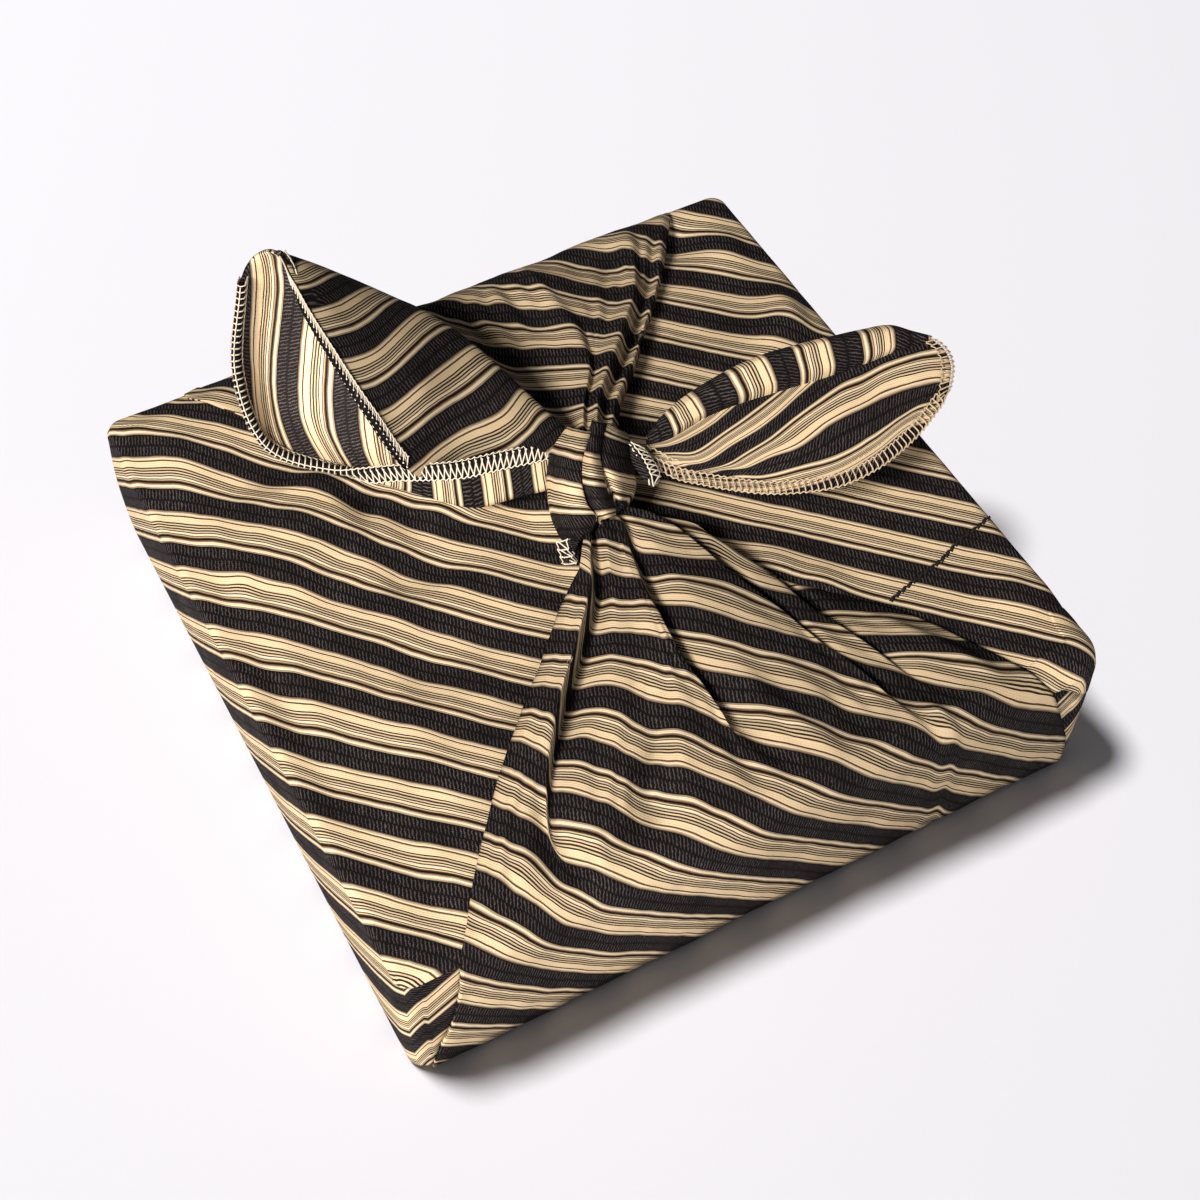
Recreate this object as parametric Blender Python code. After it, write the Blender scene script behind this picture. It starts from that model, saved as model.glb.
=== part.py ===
# A flat gift box wrapped in one square of striped cloth.
# Two opposite corners of the cloth are folded flat over the lid. The other two
# are gathered over them from the front and from the back, tied in a square
# knot in the middle, and their ends are left standing as two leaves.
# The cloth is one piece, so the part is one solid: the wrapped body, its
# raised folds, the knot and the two ends.
# Metres, +Z up. The origin is on the table under the middle of the body.
# The gathered side that faces -Y is the front.

import math

import bmesh
import bpy
from mathutils import Vector

MM = 0.001

# ---- driving dimensions, in millimetres -------------------------------------
HALF_X = 85.0             # half the body's width, cloth included
HALF_Y = 84.4             # half the body's depth, cloth included
LID_Z = 39.3              # height of the flat flaps over the lid
EDGE_ROUND = 2.8          # rounding where the flaps turn over the lid's edge
FOOT_ROUND = 2.0          # rounding where the walls turn under
WALL_SWELL = 0.7          # how far the loose cloth stands off the walls
CORNER_ROUND = {          # upright corners, by the signs of x and y
    (-1, -1): 4.0,
    (1, -1): 7.5,         # the corner with the tucked cloth is the fullest
    (-1, 1): 4.0,
    (1, 1): 4.5,
}
TAIL_THICK = 1.5          # the cloth of the two standing ends, hem included
LID_CELLS = 42
SINK = 0.45               # how much of a panel's height its underside keeps

# ---- soft folds of the two flaps --------------------------------------------
# start_x, start_y, end_x, end_y, rise, half_width
FLAP_FOLDS = [
    (-68, 80, -61, 38, 1.8, 10),
    (-61, 38, -62, -20, 2.0, 8),
    (-62, -20, -60, -72, 1.8, 8),
    (-52, 38, -34, 36, 3.2, 9),
    (-28, 14, -36, -26, -1.2, 9),
    (78, 62, 80, 34, 2.2, 8),
    (66, 74, 60, 60, -1.6, 5),
    (30, 0, 44, -10, 1.6, 8),
    (78, -62, 66, -72, 1.6, 7),
]

# ---- gathered panels --------------------------------------------------------
# Each line runs from the knot to the edge of the lid: x, y, z.
# "crest" lines are the rounded tops of folds, "dip" lines the shadowed valleys.
FRONT_LINES = [
    ("edge", [(-4.5, -2, 48.2), (-15, -19, 45.2), (-25, -27, 42.7), (-43, -44, 40.7),
              (-62, -68, 39.7), (-70, -80, 39.2), (-72, -81.6, 31)]),
    ("crest", [(-3, -4, 51.8), (-11, -20, 50.1), (-21, -32, 47.7), (-33, -45, 45.2),
               (-44, -63, 42.7), (-52, -80, 40.6), (-53, -81.6, 31)]),
    ("dip", [(-0.5, -5, 51), (-6, -21, 47.2), (-16, -33, 44.7), (-28, -46, 43),
             (-39, -63, 41.8), (-44, -80, 40.4), (-44, -81.6, 31)]),
    ("crest", [(1.5, -5, 52.7), (0, -22, 51), (-7, -35, 49.7), (-14, -48, 47.8),
               (-22, -64, 44.2), (-26, -80, 40.8), (-27, -81.6, 31)]),
    ("dip", [(4, -5, 51.8), (4, -22, 50.1), (0, -36, 48.8), (-4, -50, 46.6),
             (-6, -65, 43.2), (-7, -80, 40.8), (-7, -81.6, 31)]),
    ("crest", [(6.5, -5, 52.7), (6, -22, 51.3), (3, -36, 50.1), (1.5, -50, 47.6),
               (4, -66, 44), (7, -80, 41), (8, -81.6, 31)]),
    ("dip", [(8.5, -5, 51), (9, -22, 48.6), (7, -36, 47.2), (6, -50, 45.6),
             (10, -66, 43.2), (15, -80, 41), (16, -81.6, 31)]),
    ("crest", [(11, -5, 51.8), (18, -21, 50.1), (21, -35, 49.2), (25, -48, 46.8),
               (31, -64, 43.8), (38, -80, 41.2), (39, -81.6, 31)]),
    ("dip", [(12.5, -4.5, 50.1), (21, -20, 46.8), (25, -34, 45.8), (29, -47, 44.6),
             (35, -63, 42.8), (42, -79, 41.2), (43, -81.6, 31)]),
    ("crest", [(14.5, -3.5, 49.2), (23, -21, 46.6), (31, -36, 45.4), (40, -49, 44.2),
               (49, -64, 42.6), (56, -79, 41.2), (58, -81.6, 31)]),
    ("edge", [(16, -1.5, 47.2), (27, -19, 43.7), (38, -36, 42.2), (50, -49.5, 41.2),
              (62, -67, 40.2), (68, -79, 38.2), (69, -81.6, 31)]),
]
BACK_LINES = [
    ("edge", [(12, 10, 49.2), (30, 33, 44.6), (43, 49, 42.2), (54, 62, 40.8),
              (61, 72, 40), (65, 80, 39.2), (66, 81.6, 31)]),
    ("crest", [(10.5, 11, 51.8), (26, 35, 48.2), (37, 51, 45.7), (48, 63, 43.2),
               (55, 73, 41), (58, 80, 40), (59, 81.6, 31)]),
    ("dip", [(9.5, 12, 51), (23, 36, 46.8), (32, 52, 44.6), (41, 64, 42.2),
             (46, 73, 40.6), (49, 80, 40), (50, 81.6, 31)]),
    ("crest", [(8.5, 12.5, 51.8), (19, 36, 49.7), (25, 52, 47.2), (30, 64, 44.6),
               (33, 73, 41.8), (34, 80, 40.4), (35, 81.6, 31)]),
    ("dip", [(7, 12.5, 51), (12, 36, 47.2), (13, 52, 44.2), (13, 64, 42.2),
             (13, 73, 40.6), (13, 80, 40), (13, 81.6, 31)]),
    ("crest", [(5.5, 12.5, 51.8), (6, 36, 49.2), (2, 52, 46.2), (-3, 64, 43.8),
               (-7, 73, 41.6), (-9, 80, 40.2), (-10, 81.6, 31)]),
    ("dip", [(3.5, 12, 50.1), (-3, 34, 45.2), (-11, 48, 43.2), (-20, 61, 41.6),
             (-27, 72, 40.4), (-30, 80, 39.8), (-31, 81.6, 31)]),
    ("crest", [(1.5, 11.5, 50.1), (-9, 32, 45.8), (-21, 46, 43.8), (-34, 58, 42.2),
               (-44, 70, 41), (-49, 80, 39.8), (-50, 81.6, 31)]),
    ("edge", [(-0.5, 10.5, 47.2), (-13, 29, 42.2), (-28, 43, 41.2), (-43, 55, 40.6),
              (-56, 68, 39.8), (-64, 80, 38.8), (-65, 81.6, 31)]),
]

# ---- the knot ---------------------------------------------------------------
# The strap over the knot lies in three folds side by side. "across" points
# along the folds' row and "along" down the strap, towards the front panel.
KNOT_CENTRE = (3.0, 3.0, 48.5)
KNOT_ACROSS = (0.887, -0.462)
KNOT_RADII = (13.5, 16.5, 13.0)        # across, along, up
KNOT_GROOVES = [(-2.2, 1.9), (4.6, 1.5)]       # place across the strap, depth
GROOVE_WIDTH = 1.5
# corners of the cloth's tightly rolled hem that stick out of the knot
KNOT_NIBS = [             # root x, y, z, point x, y, z, width, thickness
    (10, 0, 56, 17, -10, 53, 9.0, 3.0),
    (-6, -8, 46, -9, -17, 44, 7.0, 3.0),
]

# ---- the left end: a hood, open towards the front left ----------------------
# Each station is a line across the cloth, from the lower hem round under the
# hood, up its back and over to the upper hem.
LEFT_TAIL = [
    [(-1.4, 9.6, 50.7), (-1.3, 9.7, 46.8), (1.8, 12.8, 42.7), (5.9, 16.9, 44), (7.6, 18.6, 49),
     (5.6, 16.6, 54.3), (1.8, 12.8, 55.3), (1.0, 12.0, 51.9)],
    [(-10, 18, 51), (-11, 13, 45), (-9, 17, 40), (-4, 25, 41), (2, 29, 50), (0, 29, 60.5),
     (-5, 24, 58), (-9, 19, 50)],
    [(-21, 22.5, 48.5), (-20, 16, 43), (-17, 21, 40.5), (-10, 33, 44.5), (-4, 40, 51),
     (-4, 41, 63.5), (-12, 33, 61), (-18, 25, 51)],
    [(-33, 30, 46), (-30, 26, 43), (-26, 30, 41.5), (-17, 43, 45.5), (-10, 51, 53),
     (-10, 53, 67.5), (-19, 41, 64), (-26, 31, 53)],
    [(-45, 40, 43.6), (-43, 43, 42.4), (-37, 49, 42.6), (-26, 60, 48), (-19, 64, 58),
     (-19, 62, 71), (-26, 52, 69), (-32, 41, 58)],
    [(-55.5, 52, 47.4), (-53, 57, 45), (-46, 65, 46), (-37, 73, 54), (-29, 74, 64),
     (-27, 70, 74.5), (-31, 62, 73), (-35.5, 53, 66)],
    [(-55, 67, 58), (-53, 70, 56), (-49, 76, 58), (-42, 80, 65), (-36, 81, 70), (-33.5, 77, 76.5),
     (-34.5, 72, 76), (-36.5, 67, 72)],
    [(-47, 78, 72), (-46.2, 79.4, 71.6), (-45, 81, 71.8), (-43, 82.6, 73), (-40.4, 83, 74.8),
     (-37.8, 81.6, 76.4), (-36, 79, 76.8), (-35.2, 76, 75.4)],
]
# ---- the right end: a leaf, its upper side rolled over ----------------------
RIGHT_TAIL = [
    [(13, -1, 51), (15, 1, 52), (17, 3, 52.6), (18, 5, 54), (18, 7, 52.4), (16, 8, 49)],
    [(27, -10, 50), (29, -5, 50.6), (32, 1, 52.6), (35, 5.6, 55), (38, 9, 57.4), (39, 11, 53)],
    [(38, -19, 51), (41, -11, 50.6), (45, -3, 53), (49, 3.4, 56), (54, 8.6, 61), (55, 11.6, 56)],
    [(51, -25, 53), (54, -16, 52), (57, -6, 54), (61, 1, 57), (68, 5.4, 63), (69, 9.6, 57.6)],
    [(65, -26, 55), (68, -18, 54), (71, -9, 55.6), (75, -1, 58), (82, 2, 61.6), (83, 6, 57.6)],
    [(78, -21, 57), (81.5, -16, 56.4), (84.4, -10, 57), (86.6, -4, 58), (89, 0, 59), (89, 2.4, 57)],
    [(86.4, -15, 58), (88.6, -12.4, 57.8), (90.4, -9, 58), (91.6, -5, 58), (92, -2, 58.2),
     (91.6, -0.4, 57.4)],
]

CLOTH_DARK = (0.035, 0.026, 0.026, 1.0)


# ---- shared helpers ---------------------------------------------------------
def between(a, b, t):
    return a + (b - a) * t


def smooth_step(t):
    t = max(0.0, min(1.0, t))
    return t * t * (3.0 - 2.0 * t)


def along(points, t):
    # a smooth line through evenly counted points, read at the fraction t
    points = [Vector(p) for p in points]
    last = len(points) - 1
    place = max(0.0, min(1.0, t)) * last
    i = min(int(place), last - 1)
    f = place - i
    before = points[i - 1] if i else points[0] * 2 - points[1]
    after = points[i + 2] if i + 2 <= last else points[last] * 2 - points[last - 1]
    a, b = points[i], points[i + 1]
    return 0.5 * (2 * a + (b - before) * f
                  + (2 * before - 5 * a + 4 * b - after) * f * f
                  + (3 * a - before - 3 * b + after) * f ** 3)


def grid_mesh(cells_u, cells_v, place):
    # a grid whose points are moved by place(u, v), both from 0 to 1
    bm = bmesh.new()
    bmesh.ops.create_grid(bm, x_segments=cells_u, y_segments=cells_v, size=1.0)
    for v in bm.verts:
        v.co = place((v.co.x + 1.0) / 2.0, (v.co.y + 1.0) / 2.0) * MM
    return bm


def make_object(name, bm, material=None):
    bmesh.ops.recalc_face_normals(bm, faces=bm.faces)
    if bm.calc_volume(signed=True) < 0.0:
        bmesh.ops.reverse_faces(bm, faces=bm.faces)
    mesh = bpy.data.meshes.new(name)
    bm.to_mesh(mesh)
    bm.free()
    piece = bpy.data.objects.new(name, mesh)
    bpy.context.scene.collection.objects.link(piece)
    if material:
        mesh.materials.append(material)
    return piece


def cloth_material():
    material = bpy.data.materials.new("striped_cloth")
    material.use_nodes = True
    shader = material.node_tree.nodes["Principled BSDF"]
    shader.inputs["Base Color"].default_value = CLOTH_DARK
    shader.inputs["Roughness"].default_value = 0.85
    shader.inputs["Metallic"].default_value = 0.0
    return material


# ---- the wrapped body -------------------------------------------------------
def corner_round(x, y):
    return CORNER_ROUND[(1 if x > 0 else -1, 1 if y > 0 else -1)]


def in_outline(x, y, half_x=HALF_X, half_y=HALF_Y):
    # moves a point of the square onto the outline with round corners
    radius = corner_round(x, y)
    over_x = abs(x) - (half_x - radius)
    over_y = abs(y) - (half_y - radius)
    if over_x <= 0.0 or over_y <= 0.0:
        return x, y
    shrink = max(over_x, over_y) / math.hypot(over_x, over_y)
    return (math.copysign(half_x - radius + over_x * shrink, x),
            math.copysign(half_y - radius + over_y * shrink, y))


def edge_distance(x, y):
    # distance from a point of the lid to the body's outline
    radius = corner_round(x, y)
    over_x = abs(x) - (HALF_X - radius)
    over_y = abs(y) - (HALF_Y - radius)
    if over_x > 0.0 and over_y > 0.0:
        return radius - math.hypot(over_x, over_y)
    return min(HALF_X - abs(x), HALF_Y - abs(y))


def fold_rise(x, y):
    rise = 0.0
    for ax, ay, bx, by, height, half_width in FLAP_FOLDS:
        dx, dy = bx - ax, by - ay
        t = ((x - ax) * dx + (y - ay) * dy) / (dx * dx + dy * dy)
        t = max(0.0, min(1.0, t))
        gap = math.hypot(x - ax - t * dx, y - ay - t * dy)
        rise += height * math.exp(-(gap / half_width) ** 2)
    return rise


def lid_point(u, v):
    side_x, side_y = 2.0 * u - 1.0, 2.0 * v - 1.0
    side_x = 1.32 * side_x - 0.32 * side_x ** 3   # cells grow finer at the edge
    side_y = 1.32 * side_y - 0.32 * side_y ** 3
    x, y = in_outline(side_x * HALF_X, side_y * HALF_Y)
    inside = max(0.0, edge_distance(x, y))
    z = LID_Z + fold_rise(x, y) * smooth_step((inside - 1.5) / 10.0)
    if inside < EDGE_ROUND:
        z -= EDGE_ROUND - math.sqrt(EDGE_ROUND ** 2 - (EDGE_ROUND - inside) ** 2)
    return Vector((x, y, z))


def build_body():
    bm = grid_mesh(LID_CELLS, LID_CELLS, lid_point)
    wall_top = LID_Z - EDGE_ROUND
    # rows down the wall: height above the table, how far in from the outline
    rows = []
    for k in range(1, 5):
        z = between(wall_top, FOOT_ROUND, k / 4.0)
        rows.append((z, -WALL_SWELL * math.sin(math.pi * k / 4.0)))
    rows.append((FOOT_ROUND * 0.3, FOOT_ROUND * 0.3))
    rows.append((0.0, FOOT_ROUND))
    rim = [e for e in bm.edges if e.is_boundary]
    last_x = last_y = 1.0
    for z, inset in rows:
        made = bmesh.ops.extrude_edge_only(bm, edges=rim)["geom"]
        scale_x, scale_y = (HALF_X - inset) / HALF_X, (HALF_Y - inset) / HALF_Y
        for v in [g for g in made if isinstance(g, bmesh.types.BMVert)]:
            v.co = Vector((v.co.x * scale_x / last_x, v.co.y * scale_y / last_y, z * MM))
        last_x, last_y = scale_x, scale_y
        rim = [g for g in made if isinstance(g, bmesh.types.BMEdge) and g.is_boundary]
    bmesh.ops.holes_fill(bm, edges=rim, sides=0)
    return bm


# ---- the gathered panels ----------------------------------------------------
def panel_point(lines, u, v):
    across = along([along(points, v) for kind, points in lines], u)
    return across


def build_panel(lines):
    cells_u, cells_v = 2 * (len(lines) - 1), 18
    bm = grid_mesh(cells_u, cells_v, lambda u, v: panel_point(lines, u, v))
    shell = list(bm.faces)
    made = bmesh.ops.extrude_face_region(bm, geom=shell, use_keep_orig=True)["geom"]
    for v in [g for g in made if isinstance(g, bmesh.types.BMVert)]:
        # the panel's underside sinks into the body, so that the two join
        v.co = Vector((v.co.x * 0.8, v.co.y * 0.8, between(5 * MM, v.co.z, SINK)))
    return bm


# ---- the knot and the standing ends -----------------------------------------
def build_knot():
    across = Vector((KNOT_ACROSS[0], KNOT_ACROSS[1], 0.0))
    ahead = Vector((KNOT_ACROSS[1], -KNOT_ACROSS[0], 0.0))
    bm = bmesh.new()
    bmesh.ops.create_uvsphere(bm, u_segments=36, v_segments=20, radius=1.0)
    for v in bm.verts:
        # a little squarer than a ball
        part = Vector([math.copysign(abs(c) ** 0.86, c) for c in v.co])
        place = part.x * KNOT_RADII[0]
        dent = sum(depth * math.exp(-((place - at) / GROOVE_WIDTH) ** 2)
                   for at, depth in KNOT_GROOVES)
        shrink = 1.0 - dent / KNOT_RADII[2]
        v.co = (Vector(KNOT_CENTRE) + across * place + ahead * (part.y * KNOT_RADII[1] * shrink)
                + Vector((0, 0, part.z * KNOT_RADII[2] * shrink))) * MM
    return bm


def build_nib(x0, y0, z0, x1, y1, z1, width, thickness):
    root, tip = Vector((x0, y0, z0)), Vector((x1, y1, z1))
    ahead = (tip - root).normalized()
    side = ahead.cross(Vector((0, 0, 1))).normalized()
    up = side.cross(ahead).normalized()
    bm = bmesh.new()
    bmesh.ops.create_cone(bm, cap_ends=True, segments=10, radius1=1.0, radius2=0.35, depth=1.0)
    for v in bm.verts:
        reach = v.co.z + 0.5
        v.co = (root + (tip - root) * reach + side * v.co.x * width / 2.0
                + up * v.co.y * thickness / 2.0) * MM
    return bm


def evened(stations, count):
    # every station read at the same number of points
    return [[along(station, k / (count - 1.0)) for k in range(count)] for station in stations]


def build_tail(stations, cells_across, cells_along):
    rows = evened(stations, cells_across + 1)

    def place(u, v):
        return along([row[int(round(u * cells_across))] for row in rows], v)

    bm = grid_mesh(cells_across, cells_along, place)
    bm.normal_update()
    return bm


def solid_tail(name, stations, cells_across, cells_along):
    bm = build_tail(stations, cells_across, cells_along)
    mesh = bpy.data.meshes.new(name)
    bm.to_mesh(mesh)
    bm.free()
    piece = bpy.data.objects.new(name, mesh)
    bpy.context.scene.collection.objects.link(piece)
    thick = piece.modifiers.new("cloth", "SOLIDIFY")
    thick.thickness = TAIL_THICK * MM
    thick.offset = 0.0
    thick.use_even_offset = False
    thick.use_rim = True
    thick.thickness_clamp = 2.0
    return piece


def union(base, parts):
    for k, part in enumerate(parts):
        join = base.modifiers.new("join_%d" % k, "BOOLEAN")
        join.operation = "UNION"
        join.solver = "EXACT"
        join.object = part
    bpy.context.view_layer.update()
    evaluated = base.evaluated_get(bpy.context.evaluated_depsgraph_get())
    mesh = bpy.data.meshes.new_from_object(evaluated)
    bm = bmesh.new()
    bm.from_mesh(mesh)
    bmesh.ops.triangulate(bm, faces=bm.faces)
    for part in parts + [base]:
        bpy.data.objects.remove(part, do_unlink=True)
    return bm


def main():
    for old in list(bpy.data.objects):
        bpy.data.objects.remove(old, do_unlink=True)
    body = make_object("body", build_body())
    parts = [make_object("front_panel", build_panel(FRONT_LINES)),
             make_object("back_panel", build_panel(BACK_LINES))]
    parts.append(make_object("knot", build_knot()))
    for nib in KNOT_NIBS:
        parts.append(make_object("nib", build_nib(*nib)))
    parts.append(solid_tail("left_tail", LEFT_TAIL, 22, 26))
    parts.append(solid_tail("right_tail", RIGHT_TAIL, 14, 22))
    bm = union(body, parts)
    piece = make_object("furoshiki_cloth", bm, cloth_material())
    piece.data.shade_smooth()
    piece.data.set_sharp_from_angle(angle=math.radians(40.0))
    print("triangles", sum(len(p.vertices) - 2 for p in piece.data.polygons))


main()
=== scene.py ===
import math

import bmesh
import bpy
from mathutils import Matrix, Vector, noise


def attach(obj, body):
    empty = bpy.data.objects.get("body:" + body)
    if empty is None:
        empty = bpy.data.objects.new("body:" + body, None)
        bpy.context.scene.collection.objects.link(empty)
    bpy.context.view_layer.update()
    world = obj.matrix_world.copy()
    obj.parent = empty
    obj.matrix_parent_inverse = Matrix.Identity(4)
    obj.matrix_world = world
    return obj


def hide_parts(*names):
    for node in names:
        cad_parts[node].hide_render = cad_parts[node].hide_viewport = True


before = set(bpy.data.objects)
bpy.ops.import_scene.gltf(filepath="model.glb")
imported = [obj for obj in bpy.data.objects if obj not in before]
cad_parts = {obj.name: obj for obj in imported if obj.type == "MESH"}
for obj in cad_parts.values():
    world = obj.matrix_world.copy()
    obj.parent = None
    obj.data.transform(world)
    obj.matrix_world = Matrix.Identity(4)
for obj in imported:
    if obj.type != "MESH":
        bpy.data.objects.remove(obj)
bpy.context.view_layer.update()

# A flat gift box wrapped in a striped cotton cloth, tied on top.
# Sizes in the dictionaries are millimetres, as in the part's source.
mm = 0.001
rootTwo = math.sqrt(2.0)
cloth = {
    "node": "furoshiki_cloth",
    "repeat": 13.1,         # one repeat of the stripes, across them
    "thickness": 0.55,
    "endThickness": 0.8,    # the standing ends, a little fuller
    "foldThickness": 0.6,   # the roll and the knot's folds
    "hemThickness": 0.25,
}


def mix(a, b, t):
    return a + (b - a) * t


def easeBetween(low, high, x):
    t = min(1.0, max(0.0, (x - low) / (high - low)))
    return t * t * (3.0 - 2.0 * t)


def gap(p, q):
    return (Vector(p[:3]) - Vector(q[:3])).length


def slopesThrough(places, values):
    # slopes that never swing past a crest or a dip
    steps = [places[i + 1] - places[i] for i in range(len(places) - 1)]
    rises = [(values[i + 1] - values[i]) / steps[i] for i in range(len(steps))]
    slopes = [rises[0]]
    for i in range(1, len(rises)):
        before, after = rises[i - 1], rises[i]
        if before * after <= 0.0:
            slopes.append(0.0)
        else:
            w1, w2 = 2 * steps[i] + steps[i - 1], steps[i] + 2 * steps[i - 1]
            slopes.append((w1 + w2) / (w1 / before + w2 / after))
    slopes.append(rises[-1])
    return slopes


def roundSlopes(places, values):
    # slopes of a round bend through the points
    last = len(values) - 1
    return [(values[min(i + 1, last)] - values[max(i - 1, 0)])
            / (places[min(i + 1, last)] - places[max(i - 1, 0)]) for i in range(last + 1)]


def readThrough(places, values, slopes, at):
    i = 0
    while i < len(places) - 2 and at > places[i + 1]:
        i += 1
    h = places[i + 1] - places[i]
    t = min(1.0, max(0.0, (at - places[i]) / h))
    a, b = values[i], values[i + 1]
    return (a * (1 + 2 * t) * (1 - t) ** 2 + slopes[i] * h * t * (1 - t) ** 2
            + b * t * t * (3 - 2 * t) + slopes[i + 1] * h * t * t * (t - 1))


def evenPlaces(rows, least=0.3):
    # distances along the table, averaged over its other direction
    places = [0.0]
    for a, b in zip(rows, rows[1:]):
        step = sum(gap(p, q) for p, q in zip(a, b)) / len(a)
        places.append(places[-1] + max(step, least))
    return places


def resample(rows, count, soft):
    # every column of the table read at count + 1 even places
    places = evenPlaces(rows)
    made = [[None] * len(rows[0]) for k in range(count + 1)]
    for column in range(len(rows[0])):
        parts = []
        for part in range(len(rows[0][0])):
            values = [row[column][part] for row in rows]
            slopes = roundSlopes(places, values) if soft else slopesThrough(places, values)
            parts.append([readThrough(places, values, slopes, places[-1] * k / count)
                          for k in range(count + 1)])
        for k in range(count + 1):
            made[k][column] = tuple(part[k] for part in parts)
    return made


def turned(table):
    return [list(row) for row in zip(*table)]


def gridOf(table, cellsAcross, cellsAlong, soft=True):
    # table[row][column] -> fine[j][i], j along and i across
    along = resample(table, cellsAlong, soft)
    return turned(resample(turned(along), cellsAcross, soft))


def arcAlong(fine):
    # distance along each line from its middle, so that threads keep their length
    lengths = []
    for row in fine:
        reach = [0.0]
        for a, b in zip(row, row[1:]):
            reach.append(reach[-1] + gap(a, b))
        lengths.append([r - reach[-1] / 2.0 for r in reach])
    return lengths


def ripple(x, y, z, size, seed):
    return noise.noise(Vector((x / size + seed, y / size, z / size)))


def blurred(values, reach):
    # running average along a list
    total = [0.0]
    for value in values:
        total.append(total[-1] + value)
    made = []
    for i in range(len(values)):
        low, high = max(0, i - reach), min(len(values), i + reach + 1)
        made.append((total[high] - total[low]) / (high - low))
    return made


def depthsBelow(fine, reach=5.0):
    # how far each point lies below the average of its surroundings
    def cellsIn(line):
        length = sum(gap(a, b) for a, b in zip(line, line[1:]))
        return max(1, round(reach / (length / len(line))))

    heights = [[p[2] for p in row] for row in fine]
    stepsAlong = cellsIn([row[len(row) // 2] for row in fine])
    smooth = [blurred(row, cellsIn(fine[len(fine) // 2])) for row in heights]
    smooth = turned([blurred(column, stepsAlong) for column in turned(smooth)])
    return [[a - b for a, b in zip(m, h)] for m, h in zip(smooth, heights)]


def unshaded(i, j):
    return 0.0


def layGrid(fine, flat, bumps=0.0, seed=0.0, shade=None, least=None):
    # fine[j][i] = (x, y, z, ...); flat(point, i, j) = (along the stripes, across them)
    # the float attribute made here holds shade painted into the cloth's colour, more where a place
    # lies low in a fold
    cellsAlong, cellsAcross = len(fine) - 1, len(fine[0]) - 1
    bm = bmesh.new()
    bmesh.ops.create_grid(bm, x_segments=cellsAcross, y_segments=cellsAlong, size=1.0)
    laid = bm.loops.layers.uv.new("cloth")
    paintedShade = bm.verts.layers.float.new("paintedShade")
    depths = depthsBelow(fine) if shade is None else None
    lay = {}
    for v in bm.verts:
        i = round((v.co.x + 1.0) / 2.0 * cellsAcross)
        j = round((v.co.y + 1.0) / 2.0 * cellsAlong)
        point = fine[j][i]
        v[paintedShade] = shade(i, j) if shade else easeBetween(0.1, 1.6, depths[j][i])
        if least:
            v[paintedShade] = max(v[paintedShade], least(point))
        lay[v] = flat(point, i, j)
        v.co = Vector(point[:3]) * mm
    bm.normal_update()
    if bumps:
        moves = {v: v.normal * (bumps * mm * (ripple(*(v.co / mm), 13.0, seed)
                 + 0.5 * ripple(*(v.co / mm), 5.0, seed + 3.0))) for v in bm.verts}
        for v, move in moves.items():
            v.co += move
    for face in bm.faces:
        for loop in face.loops:
            loop[laid].uv = lay[loop.vert]
    bm.normal_update()
    return bm


def addPiece(name, mesh, materials, thickness=None):
    for material in materials:
        mesh.materials.append(material)
    mesh.shade_smooth()
    piece = bpy.data.objects.new(name, mesh)
    bpy.context.scene.collection.objects.link(piece)
    if thickness:
        shell = piece.modifiers.new("cloth thickness", "SOLIDIFY")
        shell.thickness, shell.offset = thickness * mm, -1.0
        shell.use_even_offset, shell.use_rim = False, True
        shell.material_offset = len(materials) - 1      # the wrong side's material
    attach(piece, "root")
    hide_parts(cloth["node"])
    return piece


def finishPiece(name, bm, thickness, upward=None, materials=None):
    if upward is not None:
        tilt = sum(f.normal.dot(Vector(upward)) * f.calc_area() for f in bm.faces)
        if tilt < 0.0:
            bmesh.ops.reverse_faces(bm, faces=bm.faces)
    mesh = bpy.data.meshes.new(name)
    bm.to_mesh(mesh)
    bm.free()
    return addPiece(name, mesh, materials or bothSides, thickness)


def makeStrip(name, fine, look, shade=None, reach=None):
    # the table's fourth value is the place across the stripes, in repeats
    reach = reach or arcAlong(fine)
    bm = layGrid(fine, lambda p, i, j: (reach[j][i], p[3] * cloth["repeat"]), *look["bumps"], shade)
    return finishPiece(name, bm, look["thickness"], look["upward"])


def linear(r, g, b):
    return tuple((c / 255.0 / 12.92) if c <= 10.31 else ((c / 255.0 + 0.055) / 1.055) ** 2.4
                 for c in (r, g, b)) + (1.0,)


def feed(tree, value, into):
    # a number or colour is set on the socket itself
    if isinstance(value, bpy.types.NodeSocket):
        tree.links.new(value, into)
    else:
        into.default_value = value


def calculate(tree, operation, *values):
    node = tree.nodes.new("ShaderNodeMath")
    node.operation = operation
    for value, into in zip(values, node.inputs):
        feed(tree, value, into)
    return node.outputs[0]


def mixColours(tree, factor, a, b, blend="MIX"):
    node = tree.nodes.new("ShaderNodeMix")
    node.data_type = "RGBA"
    node.blend_type = blend
    for k, value in ((0, factor), (6, a), (7, b)):      # the sockets of the colour mix
        feed(tree, value, node.inputs[k])
    return node.outputs[2]


def addNoise(tree, vector, scale, detail=2.0):
    node = tree.nodes.new("ShaderNodeTexNoise")
    node.inputs["Scale"].default_value = scale
    node.inputs["Detail"].default_value = detail
    tree.links.new(vector, node.inputs["Vector"])
    return node.outputs[0]


def addBump(tree, shader, height, strength, distance):
    bump = tree.nodes.new("ShaderNodeBump")
    bump.inputs["Strength"].default_value = strength
    bump.inputs["Distance"].default_value = distance
    tree.links.new(height, bump.inputs["Height"])
    tree.links.new(bump.outputs[0], shader.inputs["Normal"])


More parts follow.
